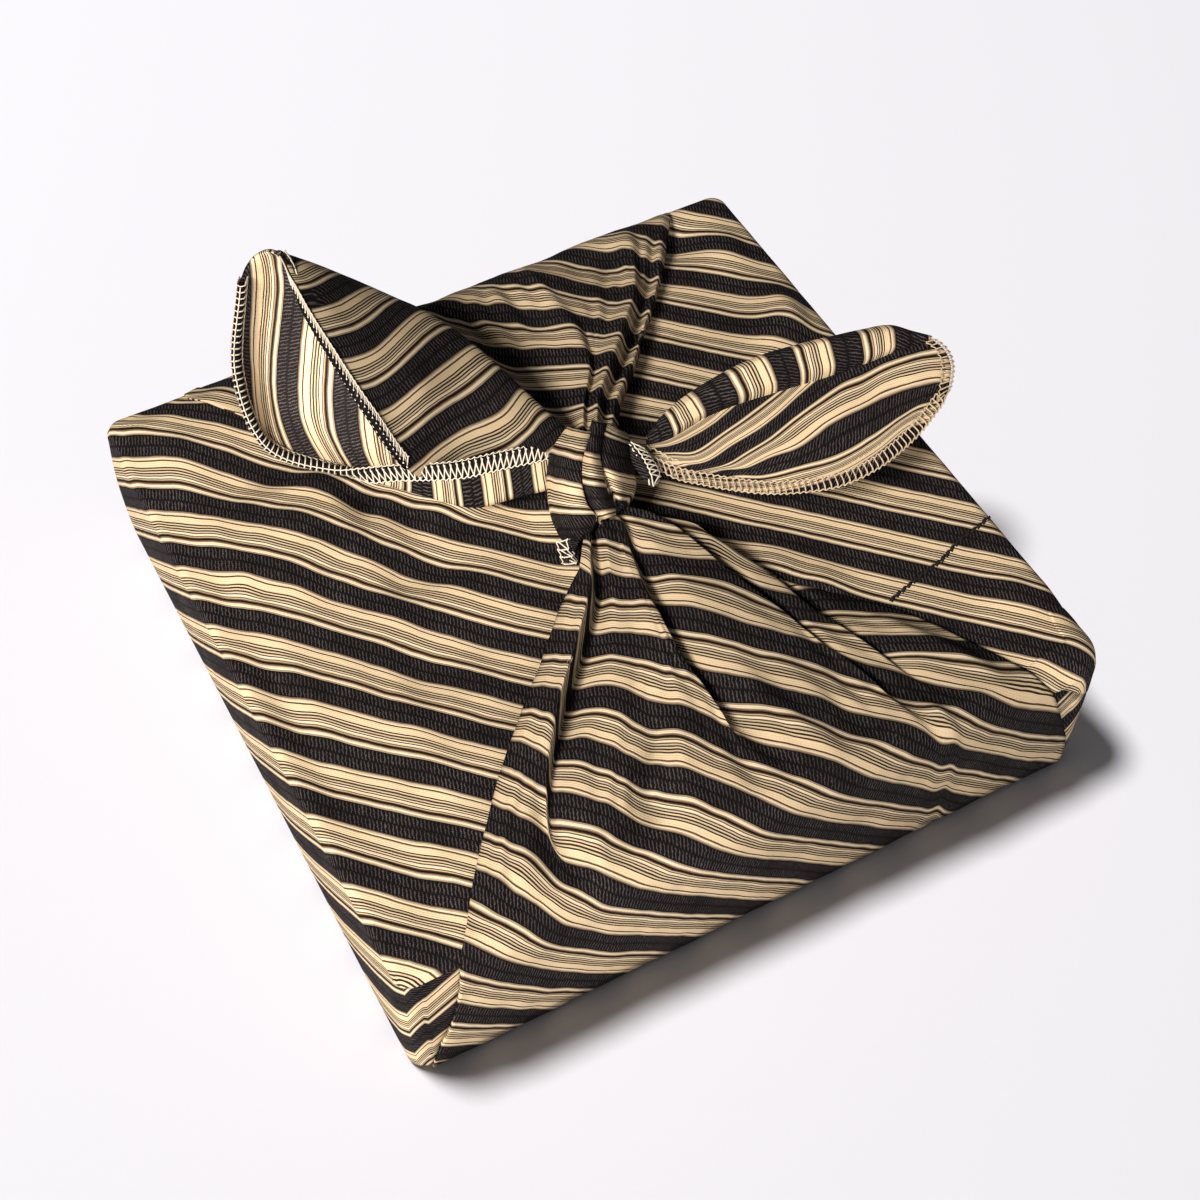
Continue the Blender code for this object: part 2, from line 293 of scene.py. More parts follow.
def newMaterial(name, specular, roughness=None):
    material = bpy.data.materials.new(name)
    material.use_nodes = True
    shader = material.node_tree.nodes["Principled BSDF"]
    shader.inputs["Specular IOR Level"].default_value = specular
    if roughness is not None:
        shader.inputs["Roughness"].default_value = roughness
    return material, material.node_tree, shader


stripeLook = {
    "beigeShare": 0.59,                 # share of the repeat that is the light band
    "lines": [                          # place in the light band, colour from there on
        (0.000, (104, 86, 68)), (0.030, (160, 139, 114)), (0.060, (203, 183, 152)),
        (0.122, (78, 56, 32)), (0.172, (205, 180, 144)), (0.345, (46, 34, 23)),
        (0.388, (190, 168, 135)), (0.430, (42, 31, 22)), (0.472, (188, 166, 133)),
        (0.512, (42, 31, 22)), (0.552, (188, 167, 136)), (0.592, (62, 46, 33)),
        (0.628, (208, 190, 160)), (0.684, (96, 75, 52)), (0.716, (176, 154, 123)),
        (0.745, (78, 59, 43)), (0.770, (15, 11, 9)), (0.825, (92, 72, 54)),
        (0.855, (152, 131, 104)), (0.884, (205, 187, 158)), (0.960, (138, 118, 94)),
    ],
    "dark": (15, 12, 12),
    "darkStroke": (86, 78, 76), "lightStroke": (110, 84, 54), "wrongSide": (120, 112, 110),
    "wander": 0.34, "wanderScale": 0.22,            # the threads wander a little
    "strokeRows": 5.0,                              # rows of weave strokes in a repeat
    "strokePitch": 0.86, "strokeLean": -1.25, "strokeSharp": 1.8, "rowEnds": 5.0,
    "speckScale": 1.3, "speckPull": 0.9,            # the strokes are not quite even
    "patchScale": 0.09, "patchStroke": (1.5, 0.1), "patchTone": (0.24, 0.88),
    "strokeOnDark": (0.25, 0.75), "strokeOnLight": 0.06,
    "wrongFade": 0.04, "wrongPaleAndLit": 0.6,            # the wrong side is greyer; it is made brighter, partly its paler yarn and partly painted light for the lit inside of the hood
    "foldShade": -0.62,                             # painted shade darkens the folds of the right side
    "threadPitch": 0.45, "threadHeight": 0.3,
    "bump": (0.6, 0.00012), "specular": 0.06,
}


def makeStripeGroup():
    look = stripeLook
    tree = bpy.data.node_groups.new("wovenStripes", "ShaderNodeTree")
    sockets = {"INPUT": (("Lay", "Vector"), ("Wrong Side", "Float"), ("Painted Shade", "Float")),
               "OUTPUT": (("Colour", "Color"), ("Weave Height", "Float"), ("Roughness", "Float"))}
    for way, named in sockets.items():
        for name, kind in named:
            tree.interface.new_socket(name=name, in_out=way, socket_type="NodeSocket" + kind)
    enter = tree.nodes.new("NodeGroupInput").outputs
    leave = tree.nodes.new("NodeGroupOutput").inputs
    lay, wrong = enter["Lay"], enter["Wrong Side"]

    def do(operation, *values):
        return calculate(tree, operation, *values)

    apart = tree.nodes.new("ShaderNodeSeparateXYZ")
    tree.links.new(lay, apart.inputs[0])
    along, across = apart.outputs[0], apart.outputs[1]
    drift = do("SUBTRACT", addNoise(tree, lay, look["wanderScale"]), 0.5)
    across = do("ADD", across, do("MULTIPLY", drift, look["wander"]))
    repeat = do("FRACT", do("DIVIDE", across, cloth["repeat"]))
    ramp = tree.nodes.new("ShaderNodeValToRGB")
    ramp.color_ramp.interpolation = "CONSTANT"
    stops = [(place * look["beigeShare"], linear(*colour)) for place, colour in look["lines"]]
    stops.append((look["beigeShare"], linear(*look["dark"])))
    for k, (place, colour) in enumerate(stops):
        if k > 1:
            ramp.color_ramp.elements.new(place)
        ramp.color_ramp.elements[k].position = place
        ramp.color_ramp.elements[k].color = colour
    tree.links.new(repeat, ramp.inputs[0])
    band = ramp.outputs[0]
    isDark = do("GREATER_THAN", repeat, look["beigeShare"])

    # steep slanted strokes of the weave, in rows
    rows = do("MULTIPLY", across, look["strokeRows"] / cloth["repeat"])
    rowMask = do("MINIMUM", 1.0, do("MULTIPLY", do("PINGPONG", rows, 0.5), look["rowEnds"]))
    leaning = do("MULTIPLY_ADD", do("FRACT", rows), look["strokeLean"], along)
    speck = addNoise(tree, lay, look["speckScale"])
    leaning = do("MULTIPLY_ADD", speck, look["speckPull"], leaning)
    wave = do("SINE", do("MULTIPLY", leaning, 2 * math.pi / look["strokePitch"]))
    sharp = do("POWER", do("MAXIMUM", wave, 0.0), look["strokeSharp"])
    patch = addNoise(tree, lay, look["patchScale"], 1.0)
    uneven = do("MULTIPLY_ADD", patch, *look["patchStroke"])
    stroke = do("MULTIPLY", do("MULTIPLY", sharp, rowMask), uneven)

    onDark = do("MULTIPLY", stroke, do("MULTIPLY_ADD", wrong, *look["strokeOnDark"]))
    dark = mixColours(tree, onDark, band, linear(*look["darkStroke"]))
    onLight = do("MULTIPLY", stroke, look["strokeOnLight"])
    light = mixColours(tree, onLight, band, linear(*look["lightStroke"]))
    woven = mixColours(tree, isDark, light, dark)
    faded = do("MULTIPLY", wrong, look["wrongFade"])
    woven = mixColours(tree, faded, woven, linear(*look["wrongSide"]))
    # uneven tone at random; the wrong side is brightened, partly its paler yarn and partly painted
    # light
    tone = do("MULTIPLY", do("MULTIPLY_ADD", patch, *look["patchTone"]),
              do("MULTIPLY_ADD", wrong, look["wrongPaleAndLit"], 1.0))
    # painted shade: the right side is darkened where the painted shade attribute marks a fold
    inFold = do("MULTIPLY", enter["Painted Shade"], do("SUBTRACT", 1.0, wrong))
    tone = do("MULTIPLY", tone, do("MULTIPLY_ADD", inFold, look["foldShade"], 1.0))
    tree.links.new(mixColours(tree, 1.0, woven, tone, "MULTIPLY"), leave["Colour"])

    thread = do("SINE", do("MULTIPLY", across, 2 * math.pi / look["threadPitch"]))
    raised = do("MULTIPLY", stroke, do("MULTIPLY_ADD", isDark, 0.8, 0.2))
    height = do("ADD", raised, do("MULTIPLY", thread, look["threadHeight"]))
    tree.links.new(height, leave["Weave Height"])
    tree.links.new(do("MULTIPLY_ADD", stroke, -0.08, 0.92), leave["Roughness"])
    return tree


stripeGroup = makeStripeGroup()


def stripedCloth(name, wrongSide=0.0):
    material, tree, shader = newMaterial(name, stripeLook["specular"])
    lay = tree.nodes.new("ShaderNodeUVMap")
    lay.uv_map = "cloth"
    paintedShade = tree.nodes.new("ShaderNodeAttribute")
    paintedShade.attribute_name = "paintedShade"
    stripes = tree.nodes.new("ShaderNodeGroup")
    stripes.node_tree = stripeGroup
    stripes.inputs["Wrong Side"].default_value = wrongSide
    tree.links.new(lay.outputs[0], stripes.inputs["Lay"])
    tree.links.new(paintedShade.outputs["Fac"], stripes.inputs["Painted Shade"])
    tree.links.new(stripes.outputs["Colour"], shader.inputs["Base Color"])
    tree.links.new(stripes.outputs["Roughness"], shader.inputs["Roughness"])
    addBump(tree, shader, stripes.outputs["Weave Height"], *stripeLook["bump"])
    return material


def threadMaterial(name, colour, other, grainScale=2600.0):
    material, tree, shader = newMaterial(name, 0.25, 0.8)
    place = tree.nodes.new("ShaderNodeTexCoord")
    grain = addNoise(tree, place.outputs["Object"], grainScale)
    mixed = mixColours(tree, grain, linear(*colour), linear(*other))
    tree.links.new(mixed, shader.inputs["Base Color"])
    addBump(tree, shader, grain, 0.5, 0.0001)
    return material


bothSides = [stripedCloth("stripedClothRightSide"), stripedCloth("stripedClothWrongSide", 1.0)]
creamThread = threadMaterial("creamOverlockThread", (226, 216, 198), (182, 166, 142))
goldThread = threadMaterial("goldOverlockThread", (214, 194, 164), (132, 106, 78))
blackThread = threadMaterial("blackOverlockThread", (34, 27, 26), (18, 14, 14))
print("materials made")

# the camera turns about its target in degrees; lamps stand in metres
stage = {
    "azimuth": -27.462, "elevation": 52.991, "roll": -0.940, "lens": 62.42,
    "distance": 492.9, "target": (2.87, -2.83, 15.0),
    "lamps": [      # name, place, aim, size, power, colour, whether it lights the floor alone
        ("window", (-0.64, -0.26, 0.70), (0, 0, 0.03), 0.30, 16.0, (1.0, 0.97, 0.93), False),
        ("fill", (-0.38, -0.90, 0.36), (0, 0, 0.03), 0.6, 8.0, (1.0, 0.98, 0.97), False),
        ("floorLamp", (-0.68, 0.62, 2.7), (0, 0, 0), 0.62, 92.0, (1.0, 0.99, 1.0), True),
    ],
    "floorSize": 2.5, "floorDrop": 0.0002, "floorColour": (230, 228, 231),
    "sky": (0.95, 0.95, 1.0, 1), "skyStrength": 0.11,
}


def setCamera():
    az, el, roll = (math.radians(stage[k]) for k in ("azimuth", "elevation", "roll"))
    back = Vector((math.sin(az) * math.cos(el), -math.cos(az) * math.cos(el), math.sin(el)))
    right = (-back).cross(Vector((0, 0, 1))).normalized()
    up = right.cross(-back).normalized()
    turnedRight = right * math.cos(roll) + up * math.sin(roll)
    turnedUp = up * math.cos(roll) - right * math.sin(roll)
    data = bpy.data.cameras.new("camera")
    data.lens, data.sensor_width = stage["lens"], 36.0
    data.clip_start, data.clip_end = 0.01, 50.0
    camera = bpy.data.objects.new("camera", data)
    bpy.context.scene.collection.objects.link(camera)
    camera.rotation_euler = Matrix((turnedRight, turnedUp, back)).transposed().to_euler()
    camera.location = (Vector(stage["target"]) + back * stage["distance"]) * mm
    bpy.context.scene.camera = camera


def makeFloor():
    bm = bmesh.new()
    bmesh.ops.create_grid(bm, x_segments=8, y_segments=8, size=stage["floorSize"])
    mesh = bpy.data.meshes.new("floor")
    bm.to_mesh(mesh)
    bm.free()
    floor = bpy.data.objects.new("floor", mesh)
    bpy.context.scene.collection.objects.link(floor)
    material, tree, shader = newMaterial("paleFloor", 0.0, 1.0)
    shader.inputs["Base Color"].default_value = linear(*stage["floorColour"])
    mesh.materials.append(material)
    floor.location.z = -stage["floorDrop"]
    return floor


def addLight(floor, name, place, aim, size, power, colour, onFloor):
    # each lamp serves either the cloth or the floor
    data = bpy.data.lights.new(name, "AREA")
    data.shape, data.size, data.energy, data.color = "DISK", size, power, colour
    light = bpy.data.objects.new(name, data)
    bpy.context.scene.collection.objects.link(light)
    light.location = place
    light.rotation_euler = (Vector(aim) - Vector(place)).to_track_quat("-Z", "Y").to_euler()
    lit = bpy.data.collections.new(name + "Receivers")
    lit.objects.link(floor)
    lit.collection_objects[0].light_linking.link_state = "INCLUDE" if onFloor else "EXCLUDE"
    light.light_linking.receiver_collection = lit


def setStage():
    setCamera()
    floor = makeFloor()
    for lamp in stage["lamps"]:
        addLight(floor, *lamp)
    world = bpy.data.worlds.new("studio")
    world.use_nodes = True
    world.node_tree.nodes["Background"].inputs[0].default_value = stage["sky"]
    world.node_tree.nodes["Background"].inputs[1].default_value = stage["skyStrength"]
    bpy.context.scene.world = world
    bpy.context.scene.view_settings.view_transform = "Standard"


setStage()
print("camera, light and floor set")

# the wrapped body: two flaps folded flat over the lid, the four walls
body = {
    "halfX": 85.0, "halfY": 84.4, "lid": 39.3,
    "edgeRound": 2.8, "leftEdgeRound": 1.8, "footRound": 2.0, "footSteps": 4,
    "wallSwell": 0.7, "wallSteps": 26, "wallRipple": 0.35,
    "corners": {(-1, -1): 4.0, (1, -1): 7.0, (-1, 1): 4.0, (1, 1): 4.5},
    "cells": 136, "crowding": 0.18,     # cells get smaller towards the edges
    "shift": {"left": 0.36, "right": 0.556, "backRight": 0.373, "panel": 0.45},
    "tuckLean": 0.62,           # how the stripes of the left tuck lean
    "riseShare": 0.8, "risesFrom": (0.5, 9.0), "slackShare": 0.14,
    "lidRipples": ((0.26, 15.0, 2.0), (0.09, 5.0, 5.0)),    # height, size, seed
    "valleys": (0.1, 2.2), "valleyShade": 0.8,      # depths that get a fold's painted shade
}
# rise of the flaps over the lid at x from -88, every 8 mm, by y
leftRise = {
    "x": [-88, -80, -72, -64, -56, -48, -40, -32, -24, -16, -8], "step": 8.0,
    "rows": [
        (84, [1, 2.4, 2.2, 2, 3, 2, 0, 0, 0, 0, 0]),
        (80, [1.2, 3.5, 3, 2.7, 4.6, 2.5, 0, 0, 0, 0, 0]),
        (64, [-0.2, 2.6, 4.8, 4, 3.2, 1.5, 0, 0, 0, 0, 0]),
        (48, [-1.4, 2, 2.8, 2.3, 1, 1, 0, 0, 0, 0, 0]),
        (40, [-0.3, 1.1, 3.4, 3.9, 3.6, 4.8, 2, 0, 0, 0, 0]),
        (32, [-0.7, 0.8, 3.1, 4.6, 5.2, 3.9, -1, 0, 0, 0, 0]),
        (24, [-1.7, -0.2, 3.5, 3.8, 4, 2.7, 0.6, -2.2, 0, 0, 0]),
        (16, [-1.3, -0.4, 1.3, 3, 1.2, 1.2, -0.8, -2.3, -3, -3, -3]),
        (8, [-2.1, 0.3, 1.2, 1.2, 0.3, -0.6, -2.7, -3.6, -2.9, -2.7, -3.3]),
        (0, [-2.2, -1.4, 0.9, 0.4, -0.1, 0.1, -1.4, -1.4, -2.2, -2.9, -3.3]),
        (-16, [-2.2, -2, 0.4, 0.4, -0.9, -2.6, -2.3, -3.1, -2.8, -2.5, -2.5]),
        (-32, [-1.6, -1.6, -1, -0.4, 0.7, -0.4, -1.6, -2.5, -2.5, -2.5, -2.5]),
        (-48, [0.8, -0.5, -0.6, -0.2, 0.8, 0.3, 0, 0, 0, 0, 0]),
        (-64, [1.3, -0.2, -0.8, 1, 1, 0.5, 0, 0, 0, 0, 0]),
        (-84, [1.4, 0.9, 0.6, 0.6, 0.4, 0.2, 0, 0, 0, 0, 0]),
    ],
}
rightRise = [       # soft swells: x, y, rise, reach
    (32, -30, 3.0, 8), (40, -40, 2.2, 6), (64, 74, -4.0, 7), (56, 62, -1.2, 6),
    (76, 64, 2.0, 7), (80, 38, 5.0, 8), (72, 32, 2.5, 6), (78, -62, 1.4, 8),
]
# the right flap's cloth folded down over the right front corner
lappet = {
    "start": 64.0, "onLid": 7.3, "round": 6.0, "over": 0.3, "off": 0.95,
    "sunkEnds": 0.8, "wave": 0.25,
    "seam": [(0, 39.0), (4, 38.4), (12, 31.0), (18, 25.5), (22.5, 23.0), (27, 23.5), (36, 33.0)],
    "cellsAcross": 72, "cellsAlong": 48, "bumps": (0.12, 71.0), "upward": (0.3, -0.6, 0.7),
}


def leftRiseAt(x, y):
    xs, rows, step = leftRise["x"], leftRise["rows"], leftRise["step"]
    x = min(max(x, xs[0]), xs[-1])
    y = min(max(y, rows[-1][0]), rows[0][0])
    j = 0
    while j < len(rows) - 2 and y < rows[j + 1][0]:
        j += 1
    i = min(int((x - xs[0]) / step), len(xs) - 2)
    s = easeBetween(xs[i], xs[i + 1], x)
    t = easeBetween(rows[j][0], rows[j + 1][0], y)
    a, b = rows[j][1], rows[j + 1][1]
    return mix(mix(a[i], a[i + 1], s), mix(b[i], b[i + 1], s), t)


def flapRise(x, y):
    if x < 0.0:
        return leftRiseAt(x, y) * easeBetween(0.0, -10.0, x)
    return sum(rise * math.exp(-((x - a) ** 2 + (y - b) ** 2) / reach ** 2)
               for a, b, rise, reach in rightRise)


def overCorner(x, y):
    # the corner's radius and how far past the start of its round a place lies
    radius = body["corners"][(1 if x > 0 else -1, 1 if y > 0 else -1)]
    return radius, abs(x) - (body["halfX"] - radius), abs(y) - (body["halfY"] - radius)


def inOutline(x, y):
    radius, overX, overY = overCorner(x, y)
    if overX <= 0.0 or overY <= 0.0:
        return x, y
    shrink = max(overX, overY) / math.hypot(overX, overY)
    return (math.copysign(body["halfX"] - radius + overX * shrink, x),
            math.copysign(body["halfY"] - radius + overY * shrink, y))


def edgeDistance(x, y):
    radius, overX, overY = overCorner(x, y)
    if overX > 0.0 and overY > 0.0:
        return radius - math.hypot(overX, overY)
    return min(body["halfX"] - abs(x), body["halfY"] - abs(y))


def riseInside(x, y):
    # the flaps' rise, gone at the lid's edge
    return flapRise(x, y) * easeBetween(*body["risesFrom"], edgeDistance(x, y))


def edgeRoundAt(x, y):
    # the fold over the lid's edge is tighter at the left, softer at the right front corner
    if x < -60.0:
        return body["leftEdgeRound"]
    near = easeBetween(62.0, 77.0, x) * easeBetween(-62.0, -77.0, y)
    return mix(body["edgeRound"], lappet["round"], near)


def flapShift(x, y):
    # where the stripes of the flaps start
    s = body["shift"]
    onRight = mix(s["right"], s["backRight"], easeBetween(0.0, 30.0, y))
    return mix(s["left"], onRight, easeBetween(-4.0, 4.0, x))


def flapLay(x, y, shift):
    return (x - y) / rootTwo, -(x + y) / rootTwo + shift * cloth["repeat"]


def panelLay(x, y, shift):
    return (y - x) / rootTwo, (x + y) / rootTwo + shift * cloth["repeat"]


def stripePlace(side, x, y, z):
    drop = max(0.0, body["lid"] - 1.0 - z)
    shift, halfX, halfY = body["shift"], body["halfX"], body["halfY"]
    if side == "lid":
        edge = edgeRoundAt(x, y)
        over = max(0.0, edge - (halfX - abs(x)))
        bend = max(0.0, edge - math.sqrt(max(0.0, edge ** 2 - over ** 2)) - 1.0)
        return flapLay(x + math.copysign(bend, x), y, flapShift(x, y))
    if side == "left":
        return flapLay(x - drop, y, shift["left"])
    if side == "right":
        return flapLay(x + drop, y, flapShift(60, y))
    if side == "front":         # the tucked corners: the stripes turn round them
        inY = y + halfY
        if x < 0.0:
            e = x + halfX
            run = halfX + halfY + body["tuckLean"] * e - (3.0 * inY if e < 4.0 else 0.0) + drop
            return (e - drop) / rootTwo, run / rootTwo + shift["left"] * cloth["repeat"]
        e = halfX - x
        run = halfY - halfX - drop + e - (inY if e < 7.0 else 0.0)
        return (-e - drop) / rootTwo, run / rootTwo + shift["right"] * cloth["repeat"]
    if side == "bottom":
        return (x + y) / rootTwo, (x - y) / rootTwo
    return panelLay(x, y + drop, shift["panel"])


def wallSide(face):
    n = face.normal
    if n.z < -0.8:
        return "bottom"
    if abs(n.x) > abs(n.y):
        return "left" if n.x < 0 else "right"
    return "front" if n.y < 0 else "back"


def lidHeight(x, y):
    inside = max(0.0, edgeDistance(x, y))
    edge = edgeRoundAt(x, y)
    z = body["lid"] + body["riseShare"] * riseInside(x, y)
    z += sum(high * ripple(x, y, 0, size, seed) for high, size, seed in body["lidRipples"])
    if inside < edge:
        z -= edge - math.sqrt(edge ** 2 - (edge - inside) ** 2)
    return z


def seamHeight(run):
    places, heights = zip(*lappet["seam"])
    return readThrough(places, heights, slopesThrough(places, heights), run)


def lappetSeam(x):
    radius = body["corners"][(1, -1)]
    straight = body["halfX"] - radius
    if x < straight:
        return seamHeight(x - lappet["start"])
    turn = math.asin(min(1.0, (x - straight) / radius))
    return seamHeight(straight - lappet["start"] + radius * turn)


def outlineAt(run):
    # place and outward way on the box's outline, round its right front corner
    radius = body["corners"][(1, -1)]
    middle = Vector((body["halfX"] - radius, -body["halfY"] + radius))
    before = middle.x - lappet["start"]
    turn = min(math.pi / 2, max(0.0, (run - before) / radius))
    way = Vector((math.sin(turn), -math.cos(turn)))
    place = middle + way * radius
    if run < before:
        place.x -= before - run
    place.y += max(0.0, run - before - radius * math.pi / 2)
    return place, way


def makeLappet():
    c = lappet
    fine = []
    top = body["lid"] + c["over"]
    for j in range(c["cellsAlong"] + 1):
        run = c["seam"][-1][0] * j / c["cellsAlong"]
        place, way = outlineAt(run)
        bow = min(c["round"], edgeRoundAt(place.x, place.y) + c["over"])
        # both ends sink into the body, where the stripes meet
        sunk = c["sunkEnds"] * (1.0 - easeBetween(0.0, 3.0, run) * easeBetween(36.0, 33.0, run))
        off = c["off"] * easeBetween(1.0, 9.0, run) * easeBetween(36.0, 29.0, run) - sunk
        wall = max(0.5, top - bow - seamHeight(run))
        whole = c["onLid"] - bow + bow * math.pi / 2 + wall
        line = []
        for i in range(c["cellsAcross"] + 1):
            at = whole * i / c["cellsAcross"] - c["onLid"]       # how far outwards, unfolded
            bend = (at + bow) / bow
            if bend < 0.0:
                spot = place + way * at
                rise = mix(-1.3, 0.25, easeBetween(-c["onLid"], -bow - 0.2, at))
                z = lidHeight(spot.x, spot.y) + rise - sunk
            elif bend < math.pi / 2:
                spot = place + way * ((bow + off) * math.sin(bend) - bow)
                z = top - sunk - bow * (1.0 - math.cos(bend))
            else:
                spot = place + way * off * (1.0 + c["wave"] * math.sin(3.0 * run / 7.0))
                z = top - bow - (at + bow - bow * math.pi / 2)
            flat = place + way * at
            line.append((spot.x, spot.y, z) + flapLay(flat.x, flat.y, body["shift"]["right"]))
        fine.append(line)
    bm = layGrid(fine, lambda p, i, j: (p[3], p[4]), *c["bumps"], unshaded)
    return finishPiece("cornerLappet", bm, cloth["thickness"], c["upward"])


def bodyLevels():
    # height, inset and share of each ring down the walls and round the foot
    count, foot = body["wallSteps"], body["footRound"]
    levels = [(mix(body["lid"] - body["edgeRound"], foot, k / count),
               -body["wallSwell"] * math.sin(math.pi * k / count), k / count)
              for k in range(1, count + 1)]
    for k in range(1, body["footSteps"] + 1):
        turn = math.pi / 2 * k / body["footSteps"]
        levels.append((foot * (1 - math.sin(turn)), foot * (1 - math.cos(turn)), 1.0))
    return levels


def crowded(share):         # a place on the lid, from -1 to 1
    return (1.0 + body["crowding"]) * share - body["crowding"] * share ** 3


def makeBody():
    halfX, halfY = body["halfX"], body["halfY"]
    bm = bmesh.new()
    bmesh.ops.create_grid(bm, x_segments=body["cells"], y_segments=body["cells"], size=1.0)
    for v in bm.verts:
        x, y = inOutline(crowded(v.co.x) * halfX, crowded(v.co.y) * halfY)
        v.co = Vector((x, y, lidHeight(x, y))) * mm
    lidFaces = set(bm.faces)
    rim = [e for e in bm.edges if e.is_boundary]
    outline = {v: (v.co.copy(), v.co.z) for e in rim for v in e.verts}
    for z, inset, share in bodyLevels():
        made = bmesh.ops.extrude_edge_only(bm, edges=rim)["geom"]
        fresh = {}
        for v in [g for g in made if isinstance(g, bmesh.types.BMVert)]:
            above = [e.other_vert(v) for e in v.link_edges if e.other_vert(v) in outline][0]
            fresh[v] = outline[above]
        for v, (base, top) in fresh.items():
            soft = ripple(base.x / mm, base.y / mm, z, 17.0, 9.0) * math.sin(math.pi * share)
            grow = 1.0 + body["wallRipple"] * soft / halfX
            v.co = Vector((base.x * (halfX - inset) / halfX * grow,
                           base.y * (halfY - inset) / halfY * grow, min(z * mm, top)))
        outline = fresh
        rim = [g for g in made if isinstance(g, bmesh.types.BMEdge) and g.is_boundary]
    bmesh.ops.holes_fill(bm, edges=rim, sides=0)
    bmesh.ops.triangulate(bm, faces=[f for f in bm.faces if len(f.verts) > 4])
    bm.normal_update()
    laid = bm.loops.layers.uv.new("cloth")
    paintedShade = bm.verts.layers.float.new("paintedShade")
    for v in bm.verts:
        x, y, z = v.co / mm
        # painted shade in the valleys between the flaps' swells
        if z > body["lid"] - 1.5:
            near = ((6, 0), (-6, 0), (0, 6), (0, -6))
            around = sum(flapRise(x + a, y + b) for a, b in near) / len(near)
            valley = easeBetween(*body["valleys"], around - flapRise(x, y))
            v[paintedShade] = body["valleyShade"] * valley
        elif y < -76.0 and x > lappet["start"]:
            under = lappetSeam(x) - z           # painted shadow along the gap under the lappet's edge
            v[paintedShade] = easeBetween(-1.0, 0.4, under) * easeBetween(3.6, 0.6, under)
    for face in bm.faces:
        side = "lid" if face in lidFaces else wallSide(face)
        for loop in face.loops:
            x, y, z = loop.vert.co / mm
            u, v = stripePlace(side, x, y, z)
            if side == "lid":       # what the swells of the cloth add to its length
                v += body["slackShare"] * riseInside(x, y)
            loop[laid].uv = (u, v)
    return finishPiece("wrappedBody", bm, cloth["thickness"])


bodyPiece = makeBody()
lappetPiece = makeLappet()
print("wrapped body made")

